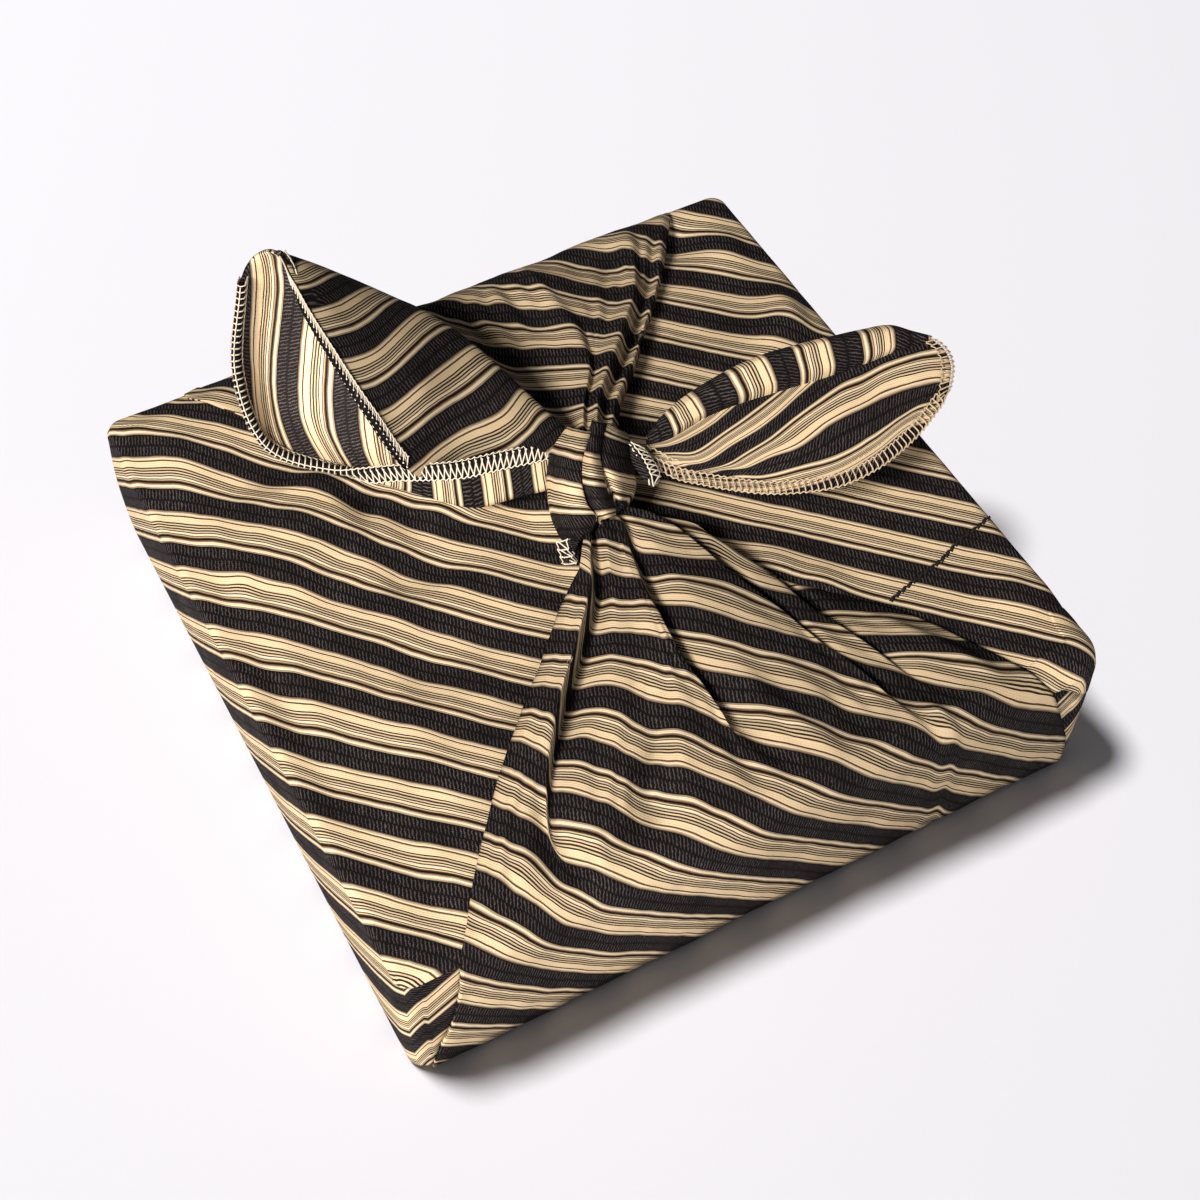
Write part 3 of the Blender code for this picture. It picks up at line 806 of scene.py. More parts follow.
# the panels: gathered from the knot over the lid's edge, columns from left to right
# crests end in a drop to the fold beneath them
# front columns: x, y, z and the stripes' shift in repeats, from the knot to the edge
frontPanel = {
    "folds": [
        [(-3.2, -10, 47.5, -0.8), (-15.8, -19.9, 44.5, -0.71), (-28.3, -32, 42.6, -0.52),
         (-41.1, -45, 41.6, -0.43), (-52.5, -58, 41.2, -0.21), (-62.6, -71.1, 41, -0.03),
         (-69.2, -81, 40.4, 0.14)],  # left hem
        [(-7.8, -14.6, 50, -0.65), (-11.7, -20, 48, -0.6), (-22.1, -32, 46, -0.47),
         (-35.1, -45, 44.6, -0.34), (-45.5, -58, 43.6, -0.1), (-53.4, -71.1, 42.6, 0.05),
         (-56.7, -81, 41, 0.22)],
        [(-5, -13.7, 50.5, -0.55), (-8.3, -20, 49, -0.55), (-18.2, -32, 47.2, -0.46),
         (-29.9, -45, 45.6, -0.26), (-39, -58, 44, -0.08), (-44.9, -71, 42.6, 0.12),
         (-46.5, -81, 41.2, 0.4)],  # first crest
        [(-3.6, -11.9, 48, 0.15), (-6.8, -20, 45.5, 0.15), (-16.6, -31.9, 43, 0.25),
         (-28.4, -44.9, 41.6, 0.35), (-37.6, -58, 41.4, 0.3), (-43.6, -71, 41.6, 0.4),
         (-43, -81, 41, 0.42)],
        [(0.7, -10.1, 50.5, 0.28), (-3.2, -20, 49.5, 0.3), (-8.4, -32, 47.8, 0.36),
         (-17.1, -45, 46.2, 0.33), (-26.9, -58, 45, 0.35), (-33.6, -71.1, 43.4, 0.37),
         (-36.7, -80.8, 41.4, 0.48)],
        [(3, -10.1, 50.3, 0.25), (-0.7, -20, 49.5, 0.3), (-4.9, -32, 48.3, 0.3),
         (-10.5, -45.1, 46.8, 0.32), (-19.3, -58, 44.6, 0.43), (-27.4, -71, 42.8, 0.44),
         (-30.1, -80.9, 41, 0.46)],
        [(3.6, -10.1, 51, 0.28), (1.1, -20, 50.2, 0.33), (-1, -32, 49.8, 0.29),
         (-2.9, -45.1, 48.4, 0.35), (-5.9, -58, 46, 0.4), (-10.4, -71, 43.4, 0.47),
         (-11.7, -80.9, 41.2, 0.46)],
        [(4.9, -10.1, 50.7, 0.27), (2.5, -20, 49.8, 0.33), (0.4, -32, 49.4, 0.27),
         (-0.1, -45.1, 48, 0.29), (0.2, -58, 45.6, 0.5), (0.5, -71, 43.4, 0.52),
         (2.3, -81, 41.1, 0.5)],  # second crest
        [(6.1, -10, 49.4, 0.6), (4.2, -19.9, 47.8, 0.65), (1.9, -32, 46.3, 0.5),
         (0.7, -45, 45, 0.45), (0.7, -58, 44, 0.6), (2.2, -71.1, 42.6, 0.53), (6, -81, 41, 0.5)],
        [(8.4, -10.1, 50, 0.65), (9.2, -20, 49.5, 0.69), (9.5, -32, 49, 0.55),
         (10, -45.1, 48, 0.57), (11.5, -58, 45.8, 0.55), (13.6, -71, 43.4, 0.49),
         (16.2, -80.9, 41.2, 0.49)],  # broad fold
        [(11.7, -10.2, 50, 0.66), (16.7, -20, 49, 0.6), (20.2, -32, 48, 0.45),
         (25.2, -45.1, 46.8, 0.6), (29.5, -58, 44.8, 0.45), (34.1, -71, 43, 0.55),
         (37.1, -80.9, 41.2, 0.46)],  # third crest
        [(14.3, -10.3, 47.5, 0.29), (18.5, -20, 45.5, 0.34), (22.3, -32, 45, 0.5),
         (26.7, -45, 44, 0.65), (30.7, -58, 43, 0.55), (35.4, -71.1, 42.2, 0.58),
         (39.6, -81, 41, 0.5)],
        [(12.9, -10.2, 47.5, 0.35), (19.3, -19.9, 46.3, 0.36), (24.1, -32, 45.8, 0.6),
         (28.1, -45.1, 45, 0.7), (32.6, -58, 43.6, 0.57), (38.2, -71, 42.4, 0.56),
         (43.2, -80.9, 41.1, 0.49)],
        [(19.1, -15.7, 47.5, 0.35), (22, -19.9, 46, 0.3), (27.5, -32, 45.2, 0.64),
         (31.7, -45, 44.4, 0.64), (36.8, -58, 43.3, 0.54), (42.6, -71, 42.3, 0.48),
         (46.7, -80.9, 41.1, 0.47)],  # fourth crest
        [(20.2, -14, 45, 1.5), (23.9, -19.9, 43.4, 1.5), (29.6, -32, 42.6, 1.47),
         (32.9, -45, 42.2, 1.3), (37.9, -58, 41.8, 0.93), (44.6, -71, 41.6, 0.5),
         (50.4, -81, 40.9, 0.5)],
        [(20, -18.8, 45, 1.5), (21.7, -19.9, 43.6, 1.5), (28.4, -32, 43, 1.5),
         (37.1, -45, 42.6, 1.22), (44.8, -58, 42.2, 0.95), (52, -71, 41.8, 0.55),
         (56.4, -81, 41, 0.5)],
        [(21.9, -15.6, 44, 1.5), (24.1, -19.8, 42.2, 1.5), (29.7, -32, 41.4, 1.47),
         (42.7, -45, 41, 1), (53.5, -58, 40.8, 0.8), (60.8, -71, 40.7, 0.42),
         (66.2, -81, 40.2, 0.25)],  # right hem
    ],
    "knotMiddle": (3.0, 1.0),
    # over the edge and down the wall: y, z, where the two hems are
    "overEdge": [(-83.9, 38.9, -71.6, 67.6), (-85.7, 36.0, -72.6, 69.4), (-86.4, 30.0, -73.6, 71.8),
                 (-86.6, 20.0, -75.6, 75.2), (-86.3, 10.0, -79.6, 78.4), (-85.4, 3.0, -81.0, 78.8),
                 (-84.8, 0.7, -81.2, 78.6)],
    "wallShift": 0.46, "cells": (190, 120), "soft": False, "deeper": 0.35,
    "ridges": 2.4, "seed": 3.7, "bumps": (0.42, 4.0),
    "leastShade": (0.2, 0.62),      # least painted shade, left and right of the knot
    "pinch": ((41.8, -78.2), (46.7, -94.4)),
}
# back columns: x, y, z; the shift is the same everywhere
backPanel = {
    "folds": [
        [(1, 15, 47.2), (-8, 24, 43.6), (-20, 36, 41.7), (-35, 49, 41), (-48, 60, 40.4),
         (-58, 71, 39.9), (-64, 81, 39.2)],  # left hem
        [(2.5, 15.5, 50), (-4, 26, 47.4), (-13, 37, 45.8), (-25, 49, 44.4), (-36, 60, 43.2),
         (-44.5, 71, 41.2), (-49, 81, 40.2)],
        [(4, 15.5, 49.2), (0, 26, 45), (-4.5, 37, 43), (-11.5, 49, 41.8), (-19.5, 60, 41),
         (-26.5, 71, 40.4), (-30, 81, 40)],
        [(5.5, 16, 51), (5, 26, 49.8), (3.5, 37, 48.6), (1, 49, 46.6), (-2.5, 60, 44.8),
         (-6, 71, 42.6), (-9, 81, 40.8)],  # high fold
        [(6.6, 16, 48.4), (8.6, 26, 46.6), (7.4, 37, 44.4), (8.2, 49, 42.8), (9, 60, 41.7),
         (8.8, 71, 41.3), (10.4, 81, 40.6)],
        [(9, 16, 51), (14.4, 26, 50), (21.4, 37, 49), (24.7, 49, 47.5), (25.4, 60, 45.6),
         (25.7, 71, 43.4), (25.1, 81, 41.2)],  # second fold
        [(9.9, 16, 49.8), (15.2, 26, 48.6), (22.6, 37, 47), (27.2, 49, 45.6), (28.6, 60, 44.2),
         (28.4, 71, 42.6), (27.2, 81, 40.8)],
        [(11.5, 16, 50.4), (16.6, 26, 49.4), (24.6, 37, 47.6), (33, 49, 46), (41, 60, 44.2),
         (45.9, 71, 42), (47.1, 81, 40.8)],
        [(12.5, 16, 51.4), (18.5, 26, 50.6), (27.9, 37, 49), (38.4, 49, 47.2), (46.5, 60, 45.2),
         (51.7, 71, 43.2), (55.7, 81, 41.2)],  # third fold
        [(14.5, 16, 48.5), (20.4, 26, 47), (30.8, 37, 44), (41.2, 49, 42.4), (50.1, 60, 41.6),
         (57.2, 71, 41.2), (62.8, 81, 40.6)],
        [(16, 16, 49), (23.3, 26, 47.6), (33.9, 37, 45.6), (44.2, 49, 44.2), (53.1, 60, 43),
         (60, 71, 42), (66.2, 81, 41)],
        [(18, 16.5, 46.5), (24.3, 26, 44), (34.3, 37, 42), (44.7, 49, 41), (54.1, 60, 40.6),
         (61.8, 71, 40.3), (68.8, 81, 40)],  # right hem
    ],
    "knotMiddle": (4.0, 6.0),
    "overEdge": [(83.9, 38.9), (85.5, 36.0), (86.0, 30.0), (86.2, 20.0), (86.0, 10.0),
                 (85.2, 3.0), (84.6, 0.7)],
    "wallShift": 0.395, "cells": (150, 110), "soft": True, "deeper": 0.0,
    # the whole back panel gets at least this painted shade
    "ridges": 2.6, "seed": 8.2, "bumps": (0.45, 11.0), "leastShade": (0.34, 0.34),
}
panels = {
    "tuckIn": 0.55, "tuckDown": 0.5,    # how far the first row goes into the knot
    "edge": (81.0, 41.0),               # y and z of the last fold row
    "widening": 0.03, "wallEase": 0.6,
    "crestFades": 6.0, "shiftFades": 30.0,      # distances down over the edge
    "hemShare": 0.07, "ridgesFrom": (0.22, 0.6), "ridgesUntil": (83.0, 74.0),
    "ridgeSizes": ((15.0, 4.0), (34.0, 9.0)), "smallRidges": 0.55,
}


def panelTable(panel):
    # rows of x, y, z, stripe shift and unfolded y, from the knot to the wall's foot
    knotX, knotY = panel["knotMiddle"]
    tuck = panels["tuckIn"]
    shiftToo = (panel["wallShift"],)        # for columns that bring none of their own
    table = [[(p + shiftToo)[:4] + (p[1],) for p in row] for row in turned(panel["folds"])]
    last = table[-1]
    table.insert(0, [(mix(x, knotX, tuck), mix(y, knotY, tuck), z - panels["tuckDown"], shift,
                      mix(y, knotY, tuck)) for x, y, z, shift, reach in table[0]])
    way = math.copysign(1.0, last[0][1])        # -1 at the front, 1 at the back
    edgeY, edgeZ = panels["edge"]
    down, before = 0.0, (way * edgeY, edgeZ)
    for y, z, *hemsAt in panel["overEdge"]:
        down += math.hypot(y - before[0], z - before[1])
        before = (y, z)
        share = easeBetween(0.0, panels["shiftFades"], down)
        crest = max(0.0, 1.0 - down / panels["crestFades"])
        spread = [1.0 + panels["widening"] * share] * 2
        if hemsAt:
            spread = hemsAt[0] / last[0][0], hemsAt[1] / last[-1][0]
        table.append([(x0 * spread[x0 > 0.0], y, z + (z0 - edgeZ) * crest,
                       mix(shift, panel["wallShift"], panels["wallEase"] * share),
                       reach + way * down) for x0, y0, z0, shift, reach in last])
    return table


def gathered(across, along, seed):
    # low ridges that run with the gathers, dying out at the hems
    hem = panels["hemShare"]
    inside = (easeBetween(0.0, hem, across) * easeBetween(1.0, 1.0 - hem, across)
              * easeBetween(*panels["ridgesFrom"], along))
    large, small = (noise.noise(Vector((across * a + seed, along * b, seed + k)))
                    for (a, b), k in zip(panels["ridgeSizes"], (0.0, 5.0)))
    return inside * (large + panels["smallRidges"] * small)


def pinchAt(x, y):
    # the short pinched wrinkle near the right front edge
    (ax, ay), (bx, by) = frontPanel["pinch"]
    size = math.hypot(bx - ax, by - ay)
    along = ((x - ax) * (bx - ax) + (y - ay) * (by - ay)) / size
    beside = ((x - ax) * (by - ay) - (y - ay) * (bx - ax)) / size
    ends = easeBetween(-3.0, 3.0, along) * easeBetween(size + 3.0, size - 3.0, along)
    fold = 1.3 * math.exp(-(beside / 1.6) ** 2) - 0.7 * math.exp(-((beside - 3.2) / 1.8) ** 2)
    return ends * fold


def frontHeight(x, y, z):
    return max(0.7, z + pinchAt(x, y))


def backHeight(x, y, z):        # nowhere under the body's cloth
    return max(z, lidHeight(x, y) + 0.6) if y < 84.8 and z > 30.0 else z


def makePanel(name, panel, heightOf):
    cellsAcross, cellsAlong = panel["cells"]
    fine = gridOf(panelTable(panel), cellsAcross, cellsAlong, panel["soft"])
    depths = depthsBelow(fine, 7.0)         # crests a little higher, hollows a little lower
    for j, row in enumerate(fine):
        for i, (x, y, z, shift, reach) in enumerate(row):
            ridge = gathered(i / cellsAcross, j / cellsAlong, panel["seed"])
            ridge *= panel["ridges"] * easeBetween(*panels["ridgesUntil"], abs(y))
            z += ridge - panel["deeper"] * depths[j][i]
            row[i] = (x, y, heightOf(x, y, z), shift, reach)
    # painted shade at least as given, growing from left of the knot to its right
    bm = layGrid(fine, lambda p, i, j: panelLay(p[0], p[4], p[3]), *panel["bumps"],
                 least=lambda p: mix(*panel["leastShade"], easeBetween(-30.0, 30.0, p[0])))
    return finishPiece(name, bm, cloth["thickness"], (0, math.copysign(0.4, fine[-1][0][1]), 1))


frontPiece = makePanel("frontPanel", frontPanel, frontHeight)
print("front panel made")
backPiece = makePanel("backPanel", backPanel, backHeight)
print("back panel made")

# the left end: a hood of cloth, open towards the front left
# each line runs across the cloth, from the lower hem round under the hood,
# up its back and over to the upper hem: x, y, z, stripes
leftEnd = {
    "lines": [
        [(1.4, 17.3, 51.5, 4.46), (-1.3, 9.7, 46.8, 4.44), (1.8, 12.8, 42.7, 4.56),
         (5.9, 16.9, 44, 4.76), (7.7, 18.9, 48.8, 4.86), (5.7, 17, 54, 4.9),
         (2.4, 13.7, 52.5, 5.17), (0.7, 11.8, 45, 5.6)],
        [(-9, 19.9, 51.5, 3.54), (-11, 13, 45, 3.57), (-9, 17, 40, 3.59), (-4, 25, 41, 3.76),
         (2.6, 30.2, 48.1, 4), (0.8, 30.6, 58, 4), (-5.1, 23.8, 55.5, 4.26),
         (-9.6, 18.1, 42.8, 5.02)],
        [(-19.9, 23.8, 49.8, 2.53), (-20, 16, 43, 2.74), (-17, 21, 40.5, 2.85),
         (-10, 33, 44.5, 3.08), (-3.3, 41.5, 49.1, 3.25), (-3.1, 43, 61, 3.15),
         (-12.3, 33, 58.5, 3.63), (-18.7, 23.5, 42.4, 4.78)],
        [(-32, 31.6, 47.3, 1.25), (-30, 26, 43, 1.63), (-26, 30, 41.5, 1.89),
         (-17, 43, 45.5, 2.15), (-9.6, 52.3, 51.1, 2.25), (-9.4, 54.8, 65, 2.2),
         (-20.8, 37.7, 65, 2.98), (-28.9, 26.6, 48.5, 4.12)],
        [(-44.4, 39.8, 44.8, 0.03), (-43, 43, 42.4, 0.17), (-37, 49, 42.6, 0.71),
         (-26, 60, 48, 1.1), (-18, 66.6, 55.4, 1.2), (-17.7, 65.4, 67.5, 1.2),
         (-27.1, 48.7, 69.5, 1.94), (-34.5, 34.1, 62.5, 3.1)],
        [(-55.5, 52, 47.4, -0.94), (-53, 57, 45, -0.78), (-46, 65, 46, -0.33),
         (-37, 73, 54, -0.05), (-28, 77.1, 61, 0.27), (-25.7, 74.1, 70.5, 0.4),
         (-31.2, 60.7, 73.5, 1.04), (-37, 47.7, 70.5, 2)],
        [(-55, 67, 58, -1.28), (-53, 70, 56, -1.2), (-49, 76, 58, -1.1), (-42, 80, 65, -0.82),
         (-35.5, 82.6, 68.1, -0.45), (-32.8, 79.1, 74, -0.2), (-34.6, 71.6, 75.5, 0.24),
         (-37.6, 63.8, 74.5, 0.88)],
        [(-47, 78, 72, -1.2), (-46.2, 79.4, 71.6, -1.17), (-45, 81, 71.8, -1.12),
         (-43, 82.6, 73, -1.03), (-40.4, 83, 74.8, -0.86), (-37.8, 81.6, 76.4, -0.6),
         (-36, 79, 76.8, -0.33), (-35.2, 76, 75.4, 0.01)],
    ],
    "cells": (90, 110),
    "shade": 0.8, "shadeFrom": (0.45, 0.7),         # painted shade on the outer back, which faces away from the light
    "thickness": cloth["endThickness"], "upward": (0.5, 0.6, -0.2), "bumps": (0.2, 20.0),
}


# painted shade, growing across the hood towards its outer back
def shadeOutside(i, j):
    return leftEnd["shade"] * easeBetween(*leftEnd["shadeFrom"], i / leftEnd["cells"][0])


leftFine = gridOf(leftEnd["lines"], *leftEnd["cells"])
leftPiece = makeStrip("leftEnd", leftFine, leftEnd, shadeOutside)
print("left end made")

# the right end: a leaf, its upper side rolled over
rightLeaf = {
    # across the leaf from the stitched hem to the fold: x, y, z, stripes
    "lines": [
        [(19.2, 0.4, 51.5, 1.1), (19.3, 0.7, 51.8, 1.4), (19.4, 1.5, 52, 1.9),
         (19.5, 2.4, 52.5, 2.3), (19.5, 3.4, 53, 2.7), (19.7, 4.7, 53, 3.1), (19.8, 5.7, 53, 3.4)],
        [(21.7, -4.3, 51, 0.5), (22, -3.2, 51.2, 0.7), (22, -2.4, 52, 1.9),
         (22.8, -0.9, 52.6, 2.25), (23.8, 1, 53, 2.62), (24.3, 2.8, 53.4, 3.1),
         (25, 4.6, 53.4, 3.5)],
        [(26.2, -8.4, 50.4, 0.3), (26.7, -7, 50.8, 0.55), (27, -5.5, 51.3, 1.6),
         (27.2, -4.7, 52.2, 1.95), (28.5, -1.8, 53.2, 2.55), (30.9, 1.9, 54, 3),
         (33.6, 5.7, 54.2, 3.5)],
        [(31.3, -12.8, 50.2, 0.2), (32, -11.1, 50.6, 0.45), (32.9, -9, 51.2, 0.8),
         (33.2, -8, 52.2, 1.5), (36.1, -4.3, 53.4, 2.02), (39.6, -0.2, 54.6, 2.55),
         (43.8, 5, 55, 3)],
        [(37.7, -17.8, 50.4, 0.05), (38.4, -15.5, 50.8, 0.35), (39.2, -13.7, 51.4, 0.6),
         (40.4, -11.1, 52.6, 1), (43, -6.2, 54, 1.7), (47.3, -2.1, 55.2, 2.15),
         (52.8, 3.3, 55.8, 2.62)],
        [(44.9, -22.1, 51.3, -0.1), (45.8, -19.7, 51.7, 0.2), (47.2, -16.9, 52.4, 0.52),
         (48.9, -12.5, 53.8, 1), (51.9, -7.4, 55, 1.35), (55.6, -3.1, 56, 1.75),
         (60.7, 1.6, 56.6, 2.1)],
        [(52.8, -25.2, 52.4, -0.2), (53.6, -22.6, 52.8, 0.05), (55.4, -18.7, 53.6, 0.55),
         (58, -13.4, 54.8, 0.85), (60.3, -9.2, 55.8, 1.12), (64, -4.1, 56.8, 1.5),
         (68.3, 0.1, 57.4, 1.8)],
        [(62.4, -25.6, 53.8, -0.25), (62.9, -22.7, 54.2, 0), (64.2, -18.3, 54.8, 0.56),
         (66, -12.6, 55.8, 0.9), (67.9, -8.2, 56.6, 1.2), (70.8, -4.4, 57.4, 1.5),
         (74.6, -0.7, 58, 1.75)],
        [(73.7, -22.8, 55.2, -0.2), (73.6, -19.8, 55.5, 0.1), (74, -16.1, 56, 0.65),
         (74.8, -11.1, 56.8, 1), (75.6, -7.6, 57.3, 1.2), (77.8, -4.2, 57.9, 1.5),
         (81, -0.8, 58.4, 1.75)],
        [(82.9, -18.6, 56.6, 0.42), (82.8, -16.3, 56.8, 0.72), (83.4, -13.2, 57.2, 0.97),
         (84.6, -10.1, 57.7, 1.17), (85.9, -7.3, 58.1, 1.37), (86.8, -4.6, 58.4, 1.56),
         (87.1, -2.1, 58.7, 1.75)],
        [(84, -18.2, 56.9, 0.5), (86.2, -16.4, 57.1, 0.78), (88.1, -14.3, 57.5, 1.02),
         (90.2, -11.6, 57.9, 1.22), (91.5, -8.7, 58.2, 1.42), (91.8, -5.7, 58.6, 1.6),
         (90.8, -2.7, 59, 1.74)],
    ],
    "cells": (70, 100),
    "thickness": cloth["endThickness"], "upward": (0, 0, 1), "bumps": (0.15, 31.0),
}
rightRoll = {
    # fold line, middle, silhouette, then stripes at that place
    "places": [
        [(19.8, 5.7, 53), (19.6, 5.1, 54.4), (20.1, 5.5, 54.6), 1],
        [(24.8, 4.1, 54), (24.3, 5.3, 56), (25.1, 7.2, 56.6), 0.67],
        [(33.3, 5.2, 54.8), (31.7, 6.4, 58), (32.5, 7.9, 59), 0.1],
        [(43.6, 4.7, 55.4), (41.9, 6.1, 60), (42.7, 8.5, 61.4), -0.42],
        [(52.6, 3, 56.2), (51, 4.7, 61.5), (52.1, 7.7, 63.2), -1],
        [(60.5, 1.3, 57), (59.8, 3.6, 62.2), (61.1, 5.9, 64), -1.6],
        [(68.1, 0, 57.6), (67.8, 2, 62.4), (68.8, 4.3, 64), -2.12],
        [(74.4, -0.8, 58.2), (74.3, 0.6, 62.2), (75.8, 3, 63.6), -2.5],
        [(80.8, -1.1, 58.7), (81.4, -0.2, 61.4), (82.9, 2, 62.4), -3],
        [(86.4, -1.8, 59), (86.9, -1, 60.2), (87.2, -0.2, 60.8), -3.25],
        [(90.5, -3.2, 59.1), (90.6, -2.9, 59.5), (90.8, -2.7, 59.8), -3.45],
    ],
    "cells": (44, 110),
    "thickness": cloth["foldThickness"], "upward": (0, 0.2, 1), "bumps": (0.08, 37.0),
}


def rollRow(fold, middle, top, stripes):
    # across the roll, from the tuck under the fold line over to its underside
    slim = min(1.0, (top[2] - fold[2]) / 5.0 + 0.15)
    start = (fold[0], fold[1] + 0.2, fold[2] - 1.2)
    tuck = (fold[0], fold[1] + 1.2 * slim, fold[2] - 2.0)
    middle = (mix(fold[0], top[0], 0.6), middle[1], middle[2])
    near = (mix(fold[0], top[0], 0.25), mix(fold[1], middle[1], 0.5) - 0.9 * slim,
            mix(fold[2], middle[2], 0.5))
    back = (top[0] + 0.2, top[1] + 3.0 * slim, mix(top[2], fold[2], 0.35))
    under = (top[0] + 0.1, top[1] + 2.2 * slim, fold[2] - 0.6)
    return [p + (stripes,) for p in (tuck, start, near, middle, top, back, under)]


leafFine = gridOf(rightLeaf["lines"], *rightLeaf["cells"])
leafReach = turned(arcAlong(turned(leafFine)))
leafPiece = makeStrip("rightEndLeaf", leafFine, rightLeaf, unshaded, leafReach)
rollFine = gridOf([rollRow(*place) for place in rightRoll["places"]], *rightRoll["cells"])
rollPiece = makeStrip("rightEndRoll", rollFine, rightRoll, unshaded)
print("right end made")

# the knot: three folds of the strap side by side over a rolled core
knot = {
    # down the strap: points from the left edge to the right edge, then the stripes
    "knotFoldLeft": [
        [(5.5, 17.5, 54.9), (5.5, 14.3, 57.6), (6, 12.1, 59.1), (7, 10.9, 59.3), (8.5, 10.6, 58.4),
         0.05],
        [(2.2, 15.7, 54), (2.2, 11.8, 57.4), (2.6, 9, 59.5), (3.6, 7.3, 60.1), (5.1, 6.6, 59.5),
         0.35],
        [(-0.4, 14.2, 52.6), (-0.6, 9.7, 56.5), (-0.2, 6.4, 59), (0.6, 4.2, 60), (2, 3.1, 59.7),
         0.59],
        [(-2.1, 11.9, 52), (-2.3, 7.4, 56), (-1.9, 4, 58.6), (-1, 1.8, 59.7), (0.5, 0.6, 59.4),
         0.8],
        [(-3.6, 9.7, 51.3), (-3.7, 5, 55.4), (-3.2, 1.5, 58.1), (-2.2, -0.8, 59.1),
         (-0.7, -2, 58.7), 1],
        [(-5.5, 5.5, 49.8), (-5.4, 0.8, 54), (-4.7, -2.7, 56.5), (-3.4, -4.8, 57.4),
         (-1.5, -5.8, 56.6), 1.3],
        [(-6.6, 2.1, 47.8), (-6.1, -2.6, 52.2), (-5, -5.8, 54.8), (-3.2, -7.5, 55.5),
         (-0.7, -8, 54.4), 1.59],
        [(-6.8, -1.2, 46.1), (-6.4, -4.7, 49.7), (-5.4, -7.1, 51.8), (-3.9, -8.4, 52.4),
         (-1.8, -8.6, 51.5), 1.78],
        [(-6.1, -4.6, 44.7), (-6, -6.7, 47), (-5.5, -8.1, 48.1), (-4.6, -8.6, 48.2),
         (-3.3, -8.5, 47.3), 1.97],
    ],
    "knotFoldMiddle": [
        [(11.4, 16.1, 55.8), (11.4, 14.3, 57.3), (11.9, 13.3, 57.7), (12.7, 13.1, 57.1),
         (13.9, 13.6, 55.6), -0.42],
        [(7.7, 11, 57.8), (7.7, 9.1, 59.3), (8.1, 8.1, 59.8), (8.9, 7.8, 59.3), (10.1, 8.3, 57.8),
         -0.2],
        [(4.1, 6.6, 58.7), (4.2, 4.6, 60.3), (4.6, 3.5, 60.9), (5.5, 3.1, 60.4), (6.8, 3.5, 59),
         0],
        [(1.4, 2.4, 58.7), (1.7, 0.2, 60.5), (2.4, -1, 61), (3.5, -1.4, 60.4), (5.1, -1, 58.7),
         0.3],
        [(-0.4, -1.4, 57.9), (0.1, -3.6, 59.5), (1, -4.8, 59.9), (2.4, -5, 59.1),
         (4.2, -4.5, 57.1), 0.59],
        [(-0.6, -4.6, 56.6), (-0.1, -6.3, 58), (0.9, -7.1, 58.2), (2.4, -7.1, 57.2),
         (4.3, -6.2, 55.1), 0.8],
        [(-0.4, -6.9, 54.4), (0.2, -8.2, 55.7), (1.3, -8.7, 55.9), (2.8, -8.4, 54.9),
         (4.7, -7.3, 52.9), 1],
        [(0.6, -8.3, 51.9), (1, -9.4, 53.3), (1.8, -9.6, 53.6), (3, -9.2, 52.9), (4.5, -8, 51.3),
         1.15],
    ],
    "knotFoldRight": [
        [(14.2, 14.6, 54.8), (14.5, 12.4, 55.8), (15.2, 11.1, 55.6), (16.4, 10.8, 54.3),
         (18.1, 11.3, 51.9), 0.2],
        [(10.7, 10.4, 56.8), (11.4, 8.1, 57.6), (12.8, 6.9, 57), (14.7, 6.9, 55),
         (17.3, 7.9, 51.6), 0.59],
        [(7.6, 5, 58.1), (8.6, 3, 58.7), (10.3, 2.2, 57.7), (12.7, 2.5, 55.3), (15.6, 3.8, 51.4),
         0.8],
        [(5.7, 0.6, 58.1), (6.9, -1.1, 58.5), (8.6, -1.7, 57.3), (11, -1.1, 54.7), (14, 0.4, 50.7),
         1],
        [(5.4, -2.2, 57.1), (6.5, -3.6, 57.2), (8, -4, 56), (10.1, -3.4, 53.4), (12.7, -2, 49.7),
         1.25],
        [(5.5, -4.9, 54.7), (6, -5.9, 55.1), (7, -6.1, 54.5), (8.3, -5.5, 52.8),
         (10.1, -4.3, 50.1), 1.5],
        [(5.9, -6, 52.6), (5.9, -6.9, 53.5), (6.2, -7.2, 53.4), (7, -6.7, 52.4), (8.1, -5.7, 50.6),
         1.65],
    ],
    "cells": (48, 60), "turnUnder": 5.0,
    "thickness": cloth["foldThickness"], "upward": (0, -0.3, 1), "bumps": (0.1, 50.0),
}
knotCore = {
    "middle": (4.6, 3.2, 48.5), "across": (0.887, -0.462), "radii": (7.6, 9.4, 6.4),
    "square": 0.9, "stripeStart": 8.5,
}


def makeKnotFold(name):
    table = []
    under = Vector((0, 0, -knot["turnUnder"]))
    for *points, stripes in knot[name]:
        line = [Vector(point) for point in points]
        side = (line[-1] - line[0]).normalized()
        line = ([line[0] + side * 1.4 + under, line[0] - side * 0.1 + under * 0.3] + line
                + [line[-1] + side * 0.1 + under * 0.3, line[-1] - side * 1.4 + under])
        table.append([tuple(point) + (stripes,) for point in line])
    return makeStrip(name, gridOf(table, *knot["cells"]), knot)


def makeKnotCore():
    core = knotCore
    across = Vector(core["across"] + (0.0,))
    ahead = Vector((core["across"][1], -core["across"][0], 0.0))
    bm = bmesh.new()
    bmesh.ops.create_uvsphere(bm, u_segments=64, v_segments=32, radius=1.0)
    laid = bm.loops.layers.uv.new("cloth")
    for v in bm.verts:
        part = [math.copysign(abs(c) ** core["square"], c) * r for c, r in zip(v.co, core["radii"])]
        v.co = (Vector(core["middle"]) + across * part[0] + ahead * part[1]
                + Vector((0, 0, part[2]))) * mm
    for face in bm.faces:
        for loop in face.loops:
            p = loop.vert.co / mm
            loop[laid].uv = (p.x + p.z, p.y - p.x + core["stripeStart"])
    return finishPiece("knotCore", bm, cloth["endThickness"])


